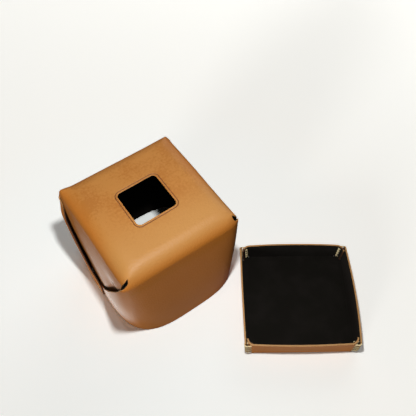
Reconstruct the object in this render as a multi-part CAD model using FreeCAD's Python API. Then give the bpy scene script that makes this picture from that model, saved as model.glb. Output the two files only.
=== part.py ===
"""Leather tissue box cover with its laced leather tray.

The cover is one folded hide: a top with a square opening, a front and a back panel whose wings turn
round onto the sides, and two side flaps that hang from the top inside those wings. The wings' top edges
slope down to a lap in the middle of each side, where a row of stitches joins back wing, front wing and
flap. A thin suede lining covers the inside of the hide. The tray is a second folded hide with a suede
lining. Its front and back walls curl inwards at their ends, and whip stitches lace them to the ends of
the side walls.

Millimetres. The origin is the middle of the cover's open base at table height, +Z is up and the cover's
front faces -Y. The tray stands beside the cover, in front of its right side.
"""
import FreeCAD, Part
import math
import os
from FreeCAD import Vector

# ---- both hides ----
leather = 1.8                   # thickness of the hide
suede = 0.7                     # thickness of the lining
skin = leather + suede

# ---- cover: top and bends ----
cover_height = 138.0
bend_radius = 18.0              # outer radius of the bends along the top's four edges
top_half_width = 65.8           # centre to the outer face of a side flap, just under its bend
top_half_depth = 67.9           # centre to the outer face of the front, just under its bend

# ---- cover: foot ----
foot_half_depth = 71.7          # centre to the outer face of the front at the table
foot_corner_radius = 28.0
top_corner_radius = 3.0         # upright corners, just under the bends
foot_bow_radius = 260.0         # each side bows out gently at the foot
top_bow_radius = 20000.0        # and is all but straight under the bends

# ---- cover: side flaps ----
flap_lean = 2.4                 # how much further out a flap is at the foot than at its bend
flap_edge_clearance = 3.9       # from a flap's upper corner to the lining of the front or back
flap_foot_half_width = 45.0     # a flap narrows towards its lower edge
flap_foot_clearance = 2.0       # a flap ends this far above the table

# ---- cover: wings ----
layer_clearance = 0.1           # between layers that lie on each other in the lap
front_wing_gap = 0.6            # between wing and flap, just under the bends
back_wing_gap = 1.0
belly_gap = 4.3                 # the back wing stands off the flap most at its belly
belly_height = 90.0
seam_offset = 3.0               # the back wing ends this far behind the middle of the side
lap_width = 22.0                # the front wing runs on this far under the back wing
tab_height = 19.5               # height of both wings where they meet
wing_corner_inset = 4.4         # a wing's top edge starts this far in from the face of its panel
wing_corner_rise = 1.0          # and this far above the foot of the bend

# ---- cover: openings ----
opening_width = 44.6            # square opening that the tissues come through
opening_corner_radius = 5.5
relief_width = 3.2              # leaf-shaped relief hole at each top corner
relief_tip_rise = 5.0           # its outer tip lies this far above the foot of the bend
relief_angle = 45.0             # its inner tip is this far round both bends
lining_foot_trim = 0.5          # the lining is trimmed this far above the hide's foot

# ---- cover: side seams ----
seam_thread = 0.9               # thread diameter
seam_setback = 5.0              # the stitch row's distance from the back wing's end
seam_first_hole = 4.0           # height of the lowest hole
seam_pitch = 4.4
seam_holes = 4

# ---- tray ----
tray_half_width = 61.45         # centre to the outer face of a side wall
tray_half_depth = 59.7          # centre to the outer face of the front or back wall
tray_height = 25.4
tray_fold_radius = 3.0          # outer radius of the folds along the floor's edges
curl_radius = 9.0               # outer radius of the curled wall ends
curl_length = 12.0              # from the wall's outer face to the curled end
curl_clearance = 0.3            # between a curled end and the side wall or floor beside it
side_wall_setback = 1.6         # the side walls end this far short of the front and back faces

# ---- tray lacing ----
lace_thread = 1.1               # thread diameter
lace_holes = 4                  # stitches in each corner
lace_pitch = 5.4
lace_top_drop = 3.6             # from the rim to the highest stitch
lace_wall_angle = 20.0          # hole in the curled wall, this far round its bend
lace_side_setback = 4.6         # hole in the side wall, from the end of that wall
lace_corner_ease = 1.0          # how far a stitch stands off the side wall's end corner

# ---- thread ----
thread_clearance = 0.05         # between a thread and its hole or the leather it lies on

# ---- where the tray stands ----
tray_centre = Vector(101.6, -131.3, 0.0)
tray_turn = -34.7               # degrees about +Z

# ---- worked out from the above ----
shoulder = cover_height - bend_radius
flap_foot = top_half_width + flap_lean
front_foot = flap_foot + skin + layer_clearance
front_top = top_half_width + skin + front_wing_gap
back_foot = front_foot + skin + layer_clearance
back_top = top_half_width + skin + back_wing_gap
back_belly = top_half_width + flap_lean * (1.0 - belly_height / shoulder) + skin + belly_gap
reach = 2.0 * cover_height      # longer than anything it cuts

UP = Vector(0.0, 0.0, 1.0)
ORIGIN = Vector(0.0, 0.0, 0.0)


# ---- small helpers ----
def prism(points, direction):
    """Solid swept from the flat closed outline through points, along direction."""
    wire = Part.makePolygon(list(points) + [points[0]])
    return Part.Face(wire).extrude(direction)


def block(low, high):
    """Box between two corners."""
    size = Vector(*high) - Vector(*low)
    return Part.makeBox(size.x, size.y, size.z, Vector(*low))


def side_prism(outline):
    """Solid that reaches across the whole cover, with its outline drawn in the Y-Z plane."""
    points = [Vector(-reach, y, z) for y, z in outline]
    return prism(points, Vector(2.0 * reach, 0.0, 0.0))


def fuse(shapes):
    """One solid from solids that touch or overlap."""
    return shapes[0].fuse(shapes[1:]).removeSplitter()


def both_ways(shape):
    """The shape and its mirror images across X, across Y and across both."""
    across_x = shape.mirror(ORIGIN, Vector(1.0, 0.0, 0.0))
    across_y = shape.mirror(ORIGIN, Vector(0.0, 1.0, 0.0))
    across_both = across_x.mirror(ORIGIN, Vector(0.0, 1.0, 0.0))
    return [shape, across_x, across_y, across_both]


def rounded_box(half_width, half_depth, radius, low, high):
    """Upright block with rounded upright corners."""
    box = block((-half_width, -half_depth, low), (half_width, half_depth, high))
    uprights = [edge for edge in box.Edges if abs(edge.tangentAt(edge.FirstParameter).z) > 0.9]
    return box.makeFillet(radius, uprights)


def strand(points, radius):
    """Round thread through points, with round joints."""
    pieces = [Part.makeSphere(radius, point) for point in points]
    for start, end in zip(points, points[1:]):
        run = end - start
        pieces.append(Part.makeCylinder(radius, run.Length, start, run))
    return fuse(pieces)


# ---- cover ----
def arched_prism(half, depth, along_x):
    """The cover's cross-section from far below the foot to the top, with both top edges rounded.

    The section is drawn at offset depth inside the outer faces, and runs along X or along Y.
    """
    side = half - depth
    top = cover_height - depth
    radius = bend_radius - depth
    flat = side - radius
    corner = radius * math.sqrt(0.5)

    def place(across, height):
        return Vector(-reach, across, height) if along_x else Vector(across, -reach, height)

    right_bend = Part.Arc(place(side, shoulder), place(flat + corner, shoulder + corner), place(flat, top))
    left_bend = Part.Arc(place(-flat, top), place(-flat - corner, shoulder + corner), place(-side, shoulder))
    edges = [
        Part.LineSegment(place(side, -reach), place(side, shoulder)).toShape(),
        right_bend.toShape(),
        Part.LineSegment(place(flat, top), place(-flat, top)).toShape(),
        left_bend.toShape(),
        Part.LineSegment(place(-side, shoulder), place(-side, -reach)).toShape(),
        Part.LineSegment(place(-side, -reach), place(side, -reach)).toShape(),
    ]
    sweep = Vector(2.0 * reach, 0.0, 0.0) if along_x else Vector(0.0, 2.0 * reach, 0.0)
    return Part.Face(Part.Wire(edges)).extrude(sweep)


def bent_top(depth):
    """Block with the top's four rounded edges, mitred where two bends meet."""
    return arched_prism(top_half_depth, depth, True).common(arched_prism(top_half_width, depth, False))


def cover_section(half_width, half_depth, corner_radius, bow_radius, height):
    """Closed plan outline with bowed sides and rounded corners, all tangent to each other."""
    across = bow_radius - half_width
    along = bow_radius - half_depth
    swing = bow_radius - corner_radius
    shift = (across ** 2 - along ** 2) / (2.0 * along)
    slope = across / along
    square = 1.0 + slope ** 2
    linear = slope * (shift + along)
    constant = (shift + along) ** 2 - swing ** 2
    corner_x = (math.sqrt(linear ** 2 - square * constant) - linear) / square
    corner_y = corner_x * slope + shift
    corner = Vector(corner_x, corner_y, height)
    front_centre = Vector(0.0, -along, height)
    side_centre = Vector(-across, 0.0, height)
    on_front = front_centre + (corner - front_centre) * (bow_radius / swing)
    on_side = side_centre + (corner - side_centre) * (bow_radius / swing)
    middle = (on_front + on_side) * 0.5 - corner
    on_corner = corner + middle.normalize() * corner_radius

    def turned(point, sign_x, sign_y):
        return Vector(sign_x * point.x, sign_y * point.y, height)

    def arc(start, through, end):
        return Part.Arc(start, through, end).toShape()

    edges = []
    for sign_x, sign_y in ((1, 1), (-1, 1), (-1, -1), (1, -1)):
        ends = [turned(on_side, sign_x, sign_y), turned(on_front, sign_x, sign_y)]
        following = [turned(on_front, -sign_x, sign_y), turned(on_side, sign_x, -sign_y)]
        extremes = [Vector(0.0, sign_y * half_depth, height), Vector(sign_x * half_width, 0.0, height)]
        if sign_x != sign_y:
            ends.reverse()
            following.reverse()
            extremes.reverse()
        edges.append(arc(ends[0], turned(on_corner, sign_x, sign_y), ends[1]))
        edges.append(arc(ends[1], extremes[0], following[0]))
    return Part.Wire(edges)


def column(widths, depth):
    """Block bounded by the cover's upright walls, at offset depth inside the outer faces.

    widths lists the half-width at each height, from the foot up to the shoulder.
    """
    sections = []
    for height, half_width in widths:
        share = height / shoulder
        half_depth = foot_half_depth + (top_half_depth - foot_half_depth) * share
        corner_radius = foot_corner_radius + (top_corner_radius - foot_corner_radius) * share
        bow = 1.0 / (1.0 / foot_bow_radius + (1.0 / top_bow_radius - 1.0 / foot_bow_radius) * share)
        sections.append(cover_section(half_width - depth, half_depth - depth, corner_radius - depth,
                                      bow - depth, height))
    return Part.makeLoft(sections, True, True)


def wall(widths, outer, inner):
    """Upright ring of wall between two offsets."""
    return column(widths, outer).cut(column(widths, inner))


def panel_with_wings(widths, outer, inner, end, sign):
    """A panel and its two wings: the panel faces sign * Y and its wings end at end * Y."""
    edge_start = sign * (top_half_depth - wing_corner_inset)
    above = shoulder + wing_corner_rise
    far = sign * reach
    kept = side_prism([(far, -1.0), (end, -1.0), (end, shoulder + reach), (far, shoulder + reach)])
    sloped = side_prism([(edge_start, above), (seam_offset, tab_height), (-far, tab_height),
                         (-far, reach), (edge_start, reach)])
    return wall(widths, outer, inner).common(kept).cut(sloped)


def side_flaps(outer, inner):
    """Both flaps, which narrow towards the foot."""
    widths = [(0.0, flap_foot), (shoulder, top_half_width)]
    top_half = top_half_depth - skin - flap_edge_clearance
    outline = [(-flap_foot_half_width, flap_foot_clearance), (flap_foot_half_width, flap_foot_clearance),
               (top_half, shoulder), (-top_half, shoulder)]
    return wall(widths, outer, inner).common(side_prism(outline))


def cover_layer(outer, inner):
    """The folded sheet between two offsets: top, panels with wings, and flaps."""
    above_shoulder = block((-reach, -reach, shoulder), (reach, reach, reach))
    top = bent_top(outer).cut(bent_top(inner)).common(above_shoulder)
    front_widths = [(0.0, front_foot), (shoulder, front_top)]
    back_widths = [(0.0, back_foot), (belly_height, back_belly), (shoulder, back_top)]
    front = panel_with_wings(front_widths, outer, inner, seam_offset + lap_width, -1.0)
    back = panel_with_wings(back_widths, outer, inner, seam_offset, 1.0)
    return fuse([top, front, back, side_flaps(outer, inner)])


def tissue_opening():
    """Square hole with rounded corners, through the top."""
    half = opening_width / 2.0
    return rounded_box(half, half, opening_corner_radius, shoulder, cover_height + bend_radius)


def relief_hole():
    """Leaf-shaped hole through the front right top corner.

    Its inner tip lies on the mitre of the two bends and its outer tip at the wing's top corner.
    """
    angle = math.radians(relief_angle)
    inner_tip = Vector(top_half_width - bend_radius * (1.0 - math.sin(angle)),
                       -top_half_depth + bend_radius * (1.0 - math.sin(angle)),
                       cover_height - bend_radius * (1.0 - math.cos(angle)))
    outer_tip = Vector(front_top + layer_clearance, -top_half_depth + wing_corner_inset,
                       shoulder + relief_tip_rise)
    along = outer_tip - inner_tip
    inward = Vector(0.0, math.cos(angle), -math.sin(angle))
    inward.x = -(along.y * inward.y + along.z * inward.z) / along.x
    inward.normalize()
    across = along.cross(inward).normalize() * (relief_width / 2.0)
    middle = (inner_tip + outer_tip) * 0.5
    outside = inward * -bend_radius * 0.5
    leaf = Part.Wire([Part.Arc(inner_tip + outside, middle + across + outside, outer_tip + outside).toShape(),
                      Part.Arc(outer_tip + outside, middle - across + outside, inner_tip + outside).toShape()])
    return Part.Face(leaf).extrude(inward * bend_radius)


def bowed_in(half_width, across):
    """Half-width of a side near the foot, at a place across * Y from its middle."""
    return half_width - across ** 2 / (2.0 * foot_bow_radius)


def seam_line():
    """Height of each stitch hole, and how far out the outermost and innermost layers are there."""
    across = seam_offset + seam_setback
    heights = [seam_first_hole + seam_pitch * number for number in range(seam_holes)]
    outside = bowed_in(back_foot, across)
    inside = bowed_in(flap_foot - flap_lean * heights[-1] / shoulder - skin, across)
    return across, heights, outside, inside


def seam_holes_left():
    """Stitch holes through the lap on the left side."""
    across, heights, outside, inside = seam_line()
    radius = seam_thread / 2.0 + thread_clearance
    start = -outside - skin
    length = outside - inside + 2.0 * skin
    return [Part.makeCylinder(radius, length, Vector(start, across, height), Vector(1.0, 0.0, 0.0))
            for height in heights]


def seam_stitches_left():
    """One thread that runs through each hole and lies along both faces of the lap."""
    across, heights, outside, inside = seam_line()
    radius = seam_thread / 2.0
    out = -outside - radius - thread_clearance
    back = -inside + radius + thread_clearance
    pieces = [strand([Vector(out, across, height), Vector(back, across, height)], radius)
              for height in heights]
    pieces += [strand([Vector(x, across, heights[0]), Vector(x, across, heights[-1])], radius)
               for x in (out, back)]
    return fuse(pieces)


def mirrored(shape):
    """Mirror image across the cover's middle, from left to right."""
    return shape.mirror(ORIGIN, Vector(1.0, 0.0, 0.0))


def make_cover():
    """The cover's nodes by name."""
    holes = [tissue_opening()] + both_ways(relief_hole()) + seam_holes_left()
    holes += [mirrored(hole) for hole in seam_holes_left()]
    above_trim = block((-reach, -reach, lining_foot_trim), (reach, reach, reach))
    stitches = seam_stitches_left()
    return {
        "cover_hide": cover_layer(0.0, leather).cut(holes),
        "cover_lining": cover_layer(leather, skin).common(above_trim).cut(holes),
        "cover_seam_left": stitches,
        "cover_seam_right": mirrored(stitches),
    }


# ---- tray ----
curl_half_width = tray_half_width - skin - curl_clearance
straight_half_width = curl_half_width - curl_radius
straight_half_depth = tray_half_depth - curl_radius
curl_foot = skin + curl_clearance
side_wall_end = tray_half_depth - side_wall_setback


def channel(half_width, half_depth, depth, run, along_x):
    """Trough with a flat floor and two walls, open at its ends, at offset depth inside the outer faces."""
    radius = max(tray_fold_radius - depth, suede / 2.0)
    if along_x:
        box = block((-run, depth - half_depth, depth), (run, half_depth - depth, tray_height))
    else:
        box = block((depth - half_width, -run, depth), (half_width - depth, run, tray_height))

    def is_fold(edge):
        direction = edge.tangentAt(edge.FirstParameter)
        lengthwise = abs(direction.x) if along_x else abs(direction.y)
        return lengthwise > 0.9 and edge.CenterOfMass.z < depth + radius / 2.0

    return box.makeFillet(radius, [edge for edge in box.Edges if is_fold(edge)])


def trough_wall(outer, inner, run, along_x):
    """Floor and two opposite walls between two offsets."""
    solid = channel(tray_half_width, tray_half_depth, outer, run, along_x)
    hollow = channel(tray_half_width, tray_half_depth, inner, run, along_x)
    return solid.cut(hollow)


def curled_ends(outer, inner):
    """The four curled ends of the front and back walls."""
    ring = rounded_box(curl_half_width - outer, tray_half_depth - outer, curl_radius - outer,
                       curl_foot, tray_height)
    hollow = rounded_box(curl_half_width - inner, tray_half_depth - inner, curl_radius - inner,
                         curl_foot, tray_height)
    end = tray_half_depth - curl_length
    corner = block((straight_half_width, end, 0.0), (tray_half_width, tray_half_depth, tray_height))
    return [ring.cut(hollow).common(part) for part in both_ways(corner)]


def tray_floor_plate(outer, inner):
    """Floor with rounded corners between two offsets."""
    return rounded_box(curl_half_width - outer, tray_half_depth - tray_fold_radius,
                       curl_radius - tray_fold_radius, outer, inner)


def side_wall_ends(outer, inner):
    """The four ends of the side walls, which run on past the floor's folds."""
    end = block((tray_half_width - inner, straight_half_depth, curl_foot),
                (tray_half_width - outer, side_wall_end, tray_height))
    return both_ways(end)


def tray_layer(outer, inner):
    """The folded sheet of the tray between two offsets."""
    sides = trough_wall(outer, inner, straight_half_depth, False)
    ends = trough_wall(outer, inner, straight_half_width, True)
    plate = tray_floor_plate(outer, inner)
    return fuse([plate, sides, ends] + curled_ends(outer, inner) + side_wall_ends(outer, inner))


def lace_line():
    """Plan places of a front right corner's stitch: outside and inside of both of its holes."""
    centre = Vector(straight_half_width, -straight_half_depth, 0.0)
    angle = math.radians(lace_wall_angle)
    radial = Vector(math.sin(angle), -math.cos(angle), 0.0)
    side_hole = -side_wall_end + lace_side_setback
    drop = side_hole + straight_half_depth
    inner_radius = curl_radius - skin
    inside_x = straight_half_width + math.sqrt(inner_radius ** 2 - drop ** 2)
    return {
        "wall_outside": centre + radial * curl_radius,
        "wall_inside": centre + radial * inner_radius,
        "radial": radial,
        "side_outside": Vector(tray_half_width, side_hole, 0.0),
        "side_inside": Vector(inside_x, side_hole, 0.0),
        "inside_normal": (centre - Vector(inside_x, side_hole, 0.0)).normalize(),
    }


def lace_heights():
    """Height of each stitch."""
    return [tray_height - lace_top_drop - lace_pitch * number for number in range(lace_holes)]


def lace_holes_front_right():
    """Stitch holes of the front right corner."""
    line = lace_line()
    radius = lace_thread / 2.0 + thread_clearance
    holes = []
    for height in lace_heights():
        lift = UP * height
        start = line["wall_outside"] + line["radial"] * skin + lift
        holes.append(Part.makeCylinder(radius, 3.0 * skin, start, line["radial"] * -1.0))
        start = line["side_outside"] + Vector(skin, 0.0, 0.0) + lift
        length = line["side_outside"].x - line["side_inside"].x + 2.0 * skin
        holes.append(Part.makeCylinder(radius, length, start, Vector(-1.0, 0.0, 0.0)))
    return holes


def lace_front_right():
    """The whip stitches of the front right corner, all of one thread.

    From the lowest stitch up, the thread comes out through the curled wall, lies level round the end of
    the side wall and goes in through it, and inside it climbs to the next stitch.
    """
    line = lace_line()
    radius = lace_thread / 2.0
    proud = radius + thread_clearance
    wall_out = line["wall_outside"] + line["radial"] * proud
    wall_in = line["wall_inside"] - line["radial"] * proud
    corner = Vector(tray_half_width - skin, -tray_half_depth - proud, 0.0)
    edge = Vector(tray_half_width + proud, -side_wall_end - lace_corner_ease, 0.0)
    side_out = line["side_outside"] + Vector(proud, 0.0, 0.0)
    side_in = line["side_inside"] + Vector(proud / line["inside_normal"].x, 0.0, 0.0)
    turn = [wall_in, wall_out, corner, edge, side_out, side_in]
    upwards = reversed(lace_heights())
    return strand([point + UP * height for height in upwards for point in turn], radius)


def make_tray():
    """The tray's nodes by name."""
    holes = []
    for hole in lace_holes_front_right():
        holes += both_ways(hole)
    corners = both_ways(lace_front_right())
    names = ["front_right", "front_left", "back_right", "back_left"]
    nodes = {
        "tray_hide": tray_layer(0.0, leather).cut(holes),
        "tray_lining": tray_layer(leather, skin).cut(holes),
    }
    for name, corner in zip(names, corners):
        nodes["tray_lacing_" + name] = corner
    for shape in nodes.values():
        shape.rotate(ORIGIN, UP, tray_turn)
        shape.translate(tray_centre)
    return nodes


def main():
    """Write one STEP file for each node."""
    os.makedirs("parts", exist_ok=True)
    nodes = make_cover()
    nodes.update(make_tray())
    for name, shape in nodes.items():
        shape.exportStep(os.path.join("parts", name + ".step"))
        print(name, "solids", len(shape.Solids), "valid", shape.isValid(), "volume", round(shape.Volume, 1))


main()
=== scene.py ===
"""Looks of a folded leather tissue box cover and of the laced leather tray that stands beside it.

The cover is one tan hide lined with black suede. Its top bends down over all four edges. The front and
back panels carry wings that turn round onto the sides and slope down to a low lap, and on each side a flap
hangs from the top inside those wings. The tray is a second lined hide, folded up on four sides, with its
front and back walls curled in at their ends and laced to the side walls with waxed thread.

Shapes are worked out in millimetres and put into meshes in metres.
"""
import logging
import math
from collections.abc import Sequence
from dataclasses import dataclass, field
from enum import Enum
from typing import Any

import bmesh
import bpy
import numpy as np
from mathutils import Matrix, Vector


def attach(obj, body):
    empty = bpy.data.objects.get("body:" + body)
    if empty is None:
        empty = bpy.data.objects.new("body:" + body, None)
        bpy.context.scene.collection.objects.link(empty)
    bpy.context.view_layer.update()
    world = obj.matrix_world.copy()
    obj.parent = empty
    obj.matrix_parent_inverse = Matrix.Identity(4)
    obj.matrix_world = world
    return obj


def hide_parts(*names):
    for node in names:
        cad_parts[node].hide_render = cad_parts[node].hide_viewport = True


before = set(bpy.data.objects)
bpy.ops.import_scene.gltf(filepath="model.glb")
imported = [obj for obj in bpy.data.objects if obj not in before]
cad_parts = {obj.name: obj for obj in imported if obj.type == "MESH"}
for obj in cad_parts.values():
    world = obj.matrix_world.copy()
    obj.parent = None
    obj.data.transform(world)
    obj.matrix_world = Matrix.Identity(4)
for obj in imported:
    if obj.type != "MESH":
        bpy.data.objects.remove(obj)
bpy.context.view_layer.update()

LOG = logging.getLogger("tissue_box")
MM = 0.001
WELD_MM = 0.004                          # points closer than this are welded
SLIVER_MM = 0.0005                       # and edges shorter than this are taken out
ROUNDED_FROM = 58.0                      # edges that turn by more degrees than this are rounded
ROUNDING_STEPS = 2


# ---- colour and node helpers ----
def linear(code: str) -> tuple[float, float, float, float]:
    """Turn an sRGB hex colour into the linear RGBA that shaders use.

    Args:
        code: Colour such as "#C27C40".

    Returns:
        Linear red, green, blue and an alpha of 1.
    """
    channels = [int(code[start:start + 2], 16) / 255.0 for start in (1, 3, 5)]
    red, green, blue = (c / 12.92 if c <= 0.04045 else ((c + 0.055) / 1.055) ** 2.4 for c in channels)
    return red, green, blue, 1.0


def add_node(
    tree: bpy.types.NodeTree,
    kind: str,
    settings: dict[str | int, Any] | None = None,
    links: dict[str | int, bpy.types.NodeSocket] | None = None,
) -> bpy.types.Node:
    """Add one node with its settings and its incoming links.

    Args:
        tree: Node tree of a material or world.
        kind: Blender's name for the kind of node.
        settings: Value of each property, or of each input by name or number.
        links: Output that feeds each input.

    Returns:
        The new node.
    """
    node = tree.nodes.new(kind)
    for key, value in (settings or {}).items():
        if isinstance(key, str) and hasattr(node, key):
            setattr(node, key, value)
        else:
            node.inputs[key].default_value = value
    for key, source in (links or {}).items():
        tree.links.new(source, node.inputs[key])
    return node


def new_material(name: str) -> tuple[bpy.types.Material, bpy.types.NodeTree, bpy.types.NodeSocket]:
    """Start an empty node material.

    Args:
        name: The finish's name.

    Returns:
        The material, its node tree and the piece's own position in millimetres.
    """
    material = bpy.data.materials.new(name)
    material.use_nodes = True
    tree = material.node_tree
    tree.nodes.clear()
    place = add_node(tree, "ShaderNodeTexCoord")
    millimetres = add_node(tree, "ShaderNodeVectorMath", {"operation": "SCALE", "Scale": 1.0 / MM},
                           {0: place.outputs["Object"]})
    return material, tree, millimetres.outputs["Vector"]


def noise(tree: bpy.types.NodeTree, place: bpy.types.NodeSocket, size: float,
          detail: float = 2.0) -> bpy.types.NodeSocket:
    """Soft noise from 0 to 1, in blotches of this size in millimetres and as many finer octaves."""
    node = add_node(tree, "ShaderNodeTexNoise", {"Scale": 1.0 / size, "Detail": detail}, {"Vector": place})
    return node.outputs["Fac"]


def blend_colours(tree: bpy.types.NodeTree, factor: bpy.types.NodeSocket, low: float, high: float,
                  first: str, second: str) -> bpy.types.NodeSocket:
    """Colour that runs from first to second as factor runs from low to high.

    Args:
        tree: Node tree to add to.
        factor: Value that drives the change.
        low: Value at which the colour is all first.
        high: Value at which it is all second.
        first: sRGB hex colour.
        second: sRGB hex colour.

    Returns:
        The blended colour.
    """
    gradient = add_node(tree, "ShaderNodeValToRGB", None, {"Fac": factor})
    for element, position, colour in zip(gradient.color_ramp.elements, (low, high), (first, second)):
        element.position = position
        element.color = linear(colour)
    return gradient.outputs["Color"]


def mix_colours(tree: bpy.types.NodeTree, share: bpy.types.NodeSocket, first: bpy.types.NodeSocket | str,
                second: bpy.types.NodeSocket | str) -> bpy.types.NodeSocket:
    """Colour that runs from first to second as share runs from 0 to 1.

    Args:
        tree: Node tree to add to.
        share: Value that drives the change.
        first: Colour from another node, or an sRGB hex colour.
        second: The same.

    Returns:
        The mixed colour.
    """
    settings: dict[str | int, Any] = {"data_type": "RGBA"}
    links: dict[str | int, bpy.types.NodeSocket] = {0: share}
    for number, colour in ((6, first), (7, second)):
        if isinstance(colour, str):
            settings[number] = linear(colour)
        else:
            links[number] = colour
    return add_node(tree, "ShaderNodeMix", settings, links).outputs[2]


def ramp(tree: bpy.types.NodeTree, value: bpy.types.NodeSocket, start: float, end: float,
         most: float = 1.0, kind: str = "LINEAR") -> bpy.types.NodeSocket:
    """Value that runs from 0 at start to most at end, and is held beyond them.

    Args:
        tree: Node tree to add to.
        value: What drives it.
        start: Where it is 0.
        end: Where it is most.
        most: Its largest value.
        kind: Blender's name for the shape of the ramp.

    Returns:
        The value.
    """
    node = add_node(tree, "ShaderNodeMapRange", {"interpolation_type": kind, "From Min": start,
                                                 "From Max": end, "To Max": most}, {"Value": value})
    return node.outputs["Result"]


def maths(tree: bpy.types.NodeTree, operation: str,
          *terms: bpy.types.NodeSocket | float) -> bpy.types.NodeSocket:
    """One step of arithmetic on values.

    Args:
        tree: Node tree to add to.
        operation: Blender's name for it.
        terms: Outputs of other nodes, or plain numbers.

    Returns:
        The result.
    """
    settings: dict[str | int, Any] = {"operation": operation}
    links: dict[str | int, bpy.types.NodeSocket] = {}
    for number, term in enumerate(terms):
        if isinstance(term, float):
            settings[number] = term
        else:
            links[number] = term
    return add_node(tree, "ShaderNodeMath", settings, links).outputs[0]


def band(tree: bpy.types.NodeTree, value: bpy.types.NodeSocket,
         edges: tuple[float, float, float, float], most: float = 1.0) -> bpy.types.NodeSocket:
    """Value that is most between two soft edges and 0 outside them.

    Args:
        tree: Node tree to add to.
        value: What drives it.
        edges: Where it leaves 0, where it is full, where it starts to fall, and where it is 0 again.
        most: Its largest value.

    Returns:
        The value.
    """
    start, full, falling, end = edges
    rising = ramp(tree, value, start, full, most)
    return maths(tree, "MULTIPLY", rising, ramp(tree, value, end, falling))


def relief(tree: bpy.types.NodeTree, height: bpy.types.NodeSocket, depth: float,
           strength: float = 1.0) -> bpy.types.NodeSocket:
    """Normal that is bent by a height.

    Args:
        tree: Node tree to add to.
        height: Height from 0 to 1.
        depth: What a height of 1 stands for, in millimetres.
        strength: Share of the bend that shows.

    Returns:
        The normal.
    """
    node = add_node(tree, "ShaderNodeBump", {"Strength": strength, "Distance": depth * MM},
                    {"Height": height})
    return node.outputs["Normal"]


def add_shader(tree: bpy.types.NodeTree, settings: dict[str | int, Any],
               links: dict[str | int, bpy.types.NodeSocket]) -> None:
    """End a material with its shader, whose inputs have these values and links."""
    shader = add_node(tree, "ShaderNodeBsdfPrincipled", settings, links)
    add_node(tree, "ShaderNodeOutputMaterial", None, {"Surface": shader.outputs["BSDF"]})


def add_object(name: str, data: bpy.types.ID) -> bpy.types.Object:
    """Add an object to the scene.

    Args:
        name: Its name.
        data: Its mesh, light or camera.

    Returns:
        The object.
    """
    added = bpy.data.objects.new(name, data)
    bpy.context.scene.collection.objects.link(added)
    return added


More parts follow.
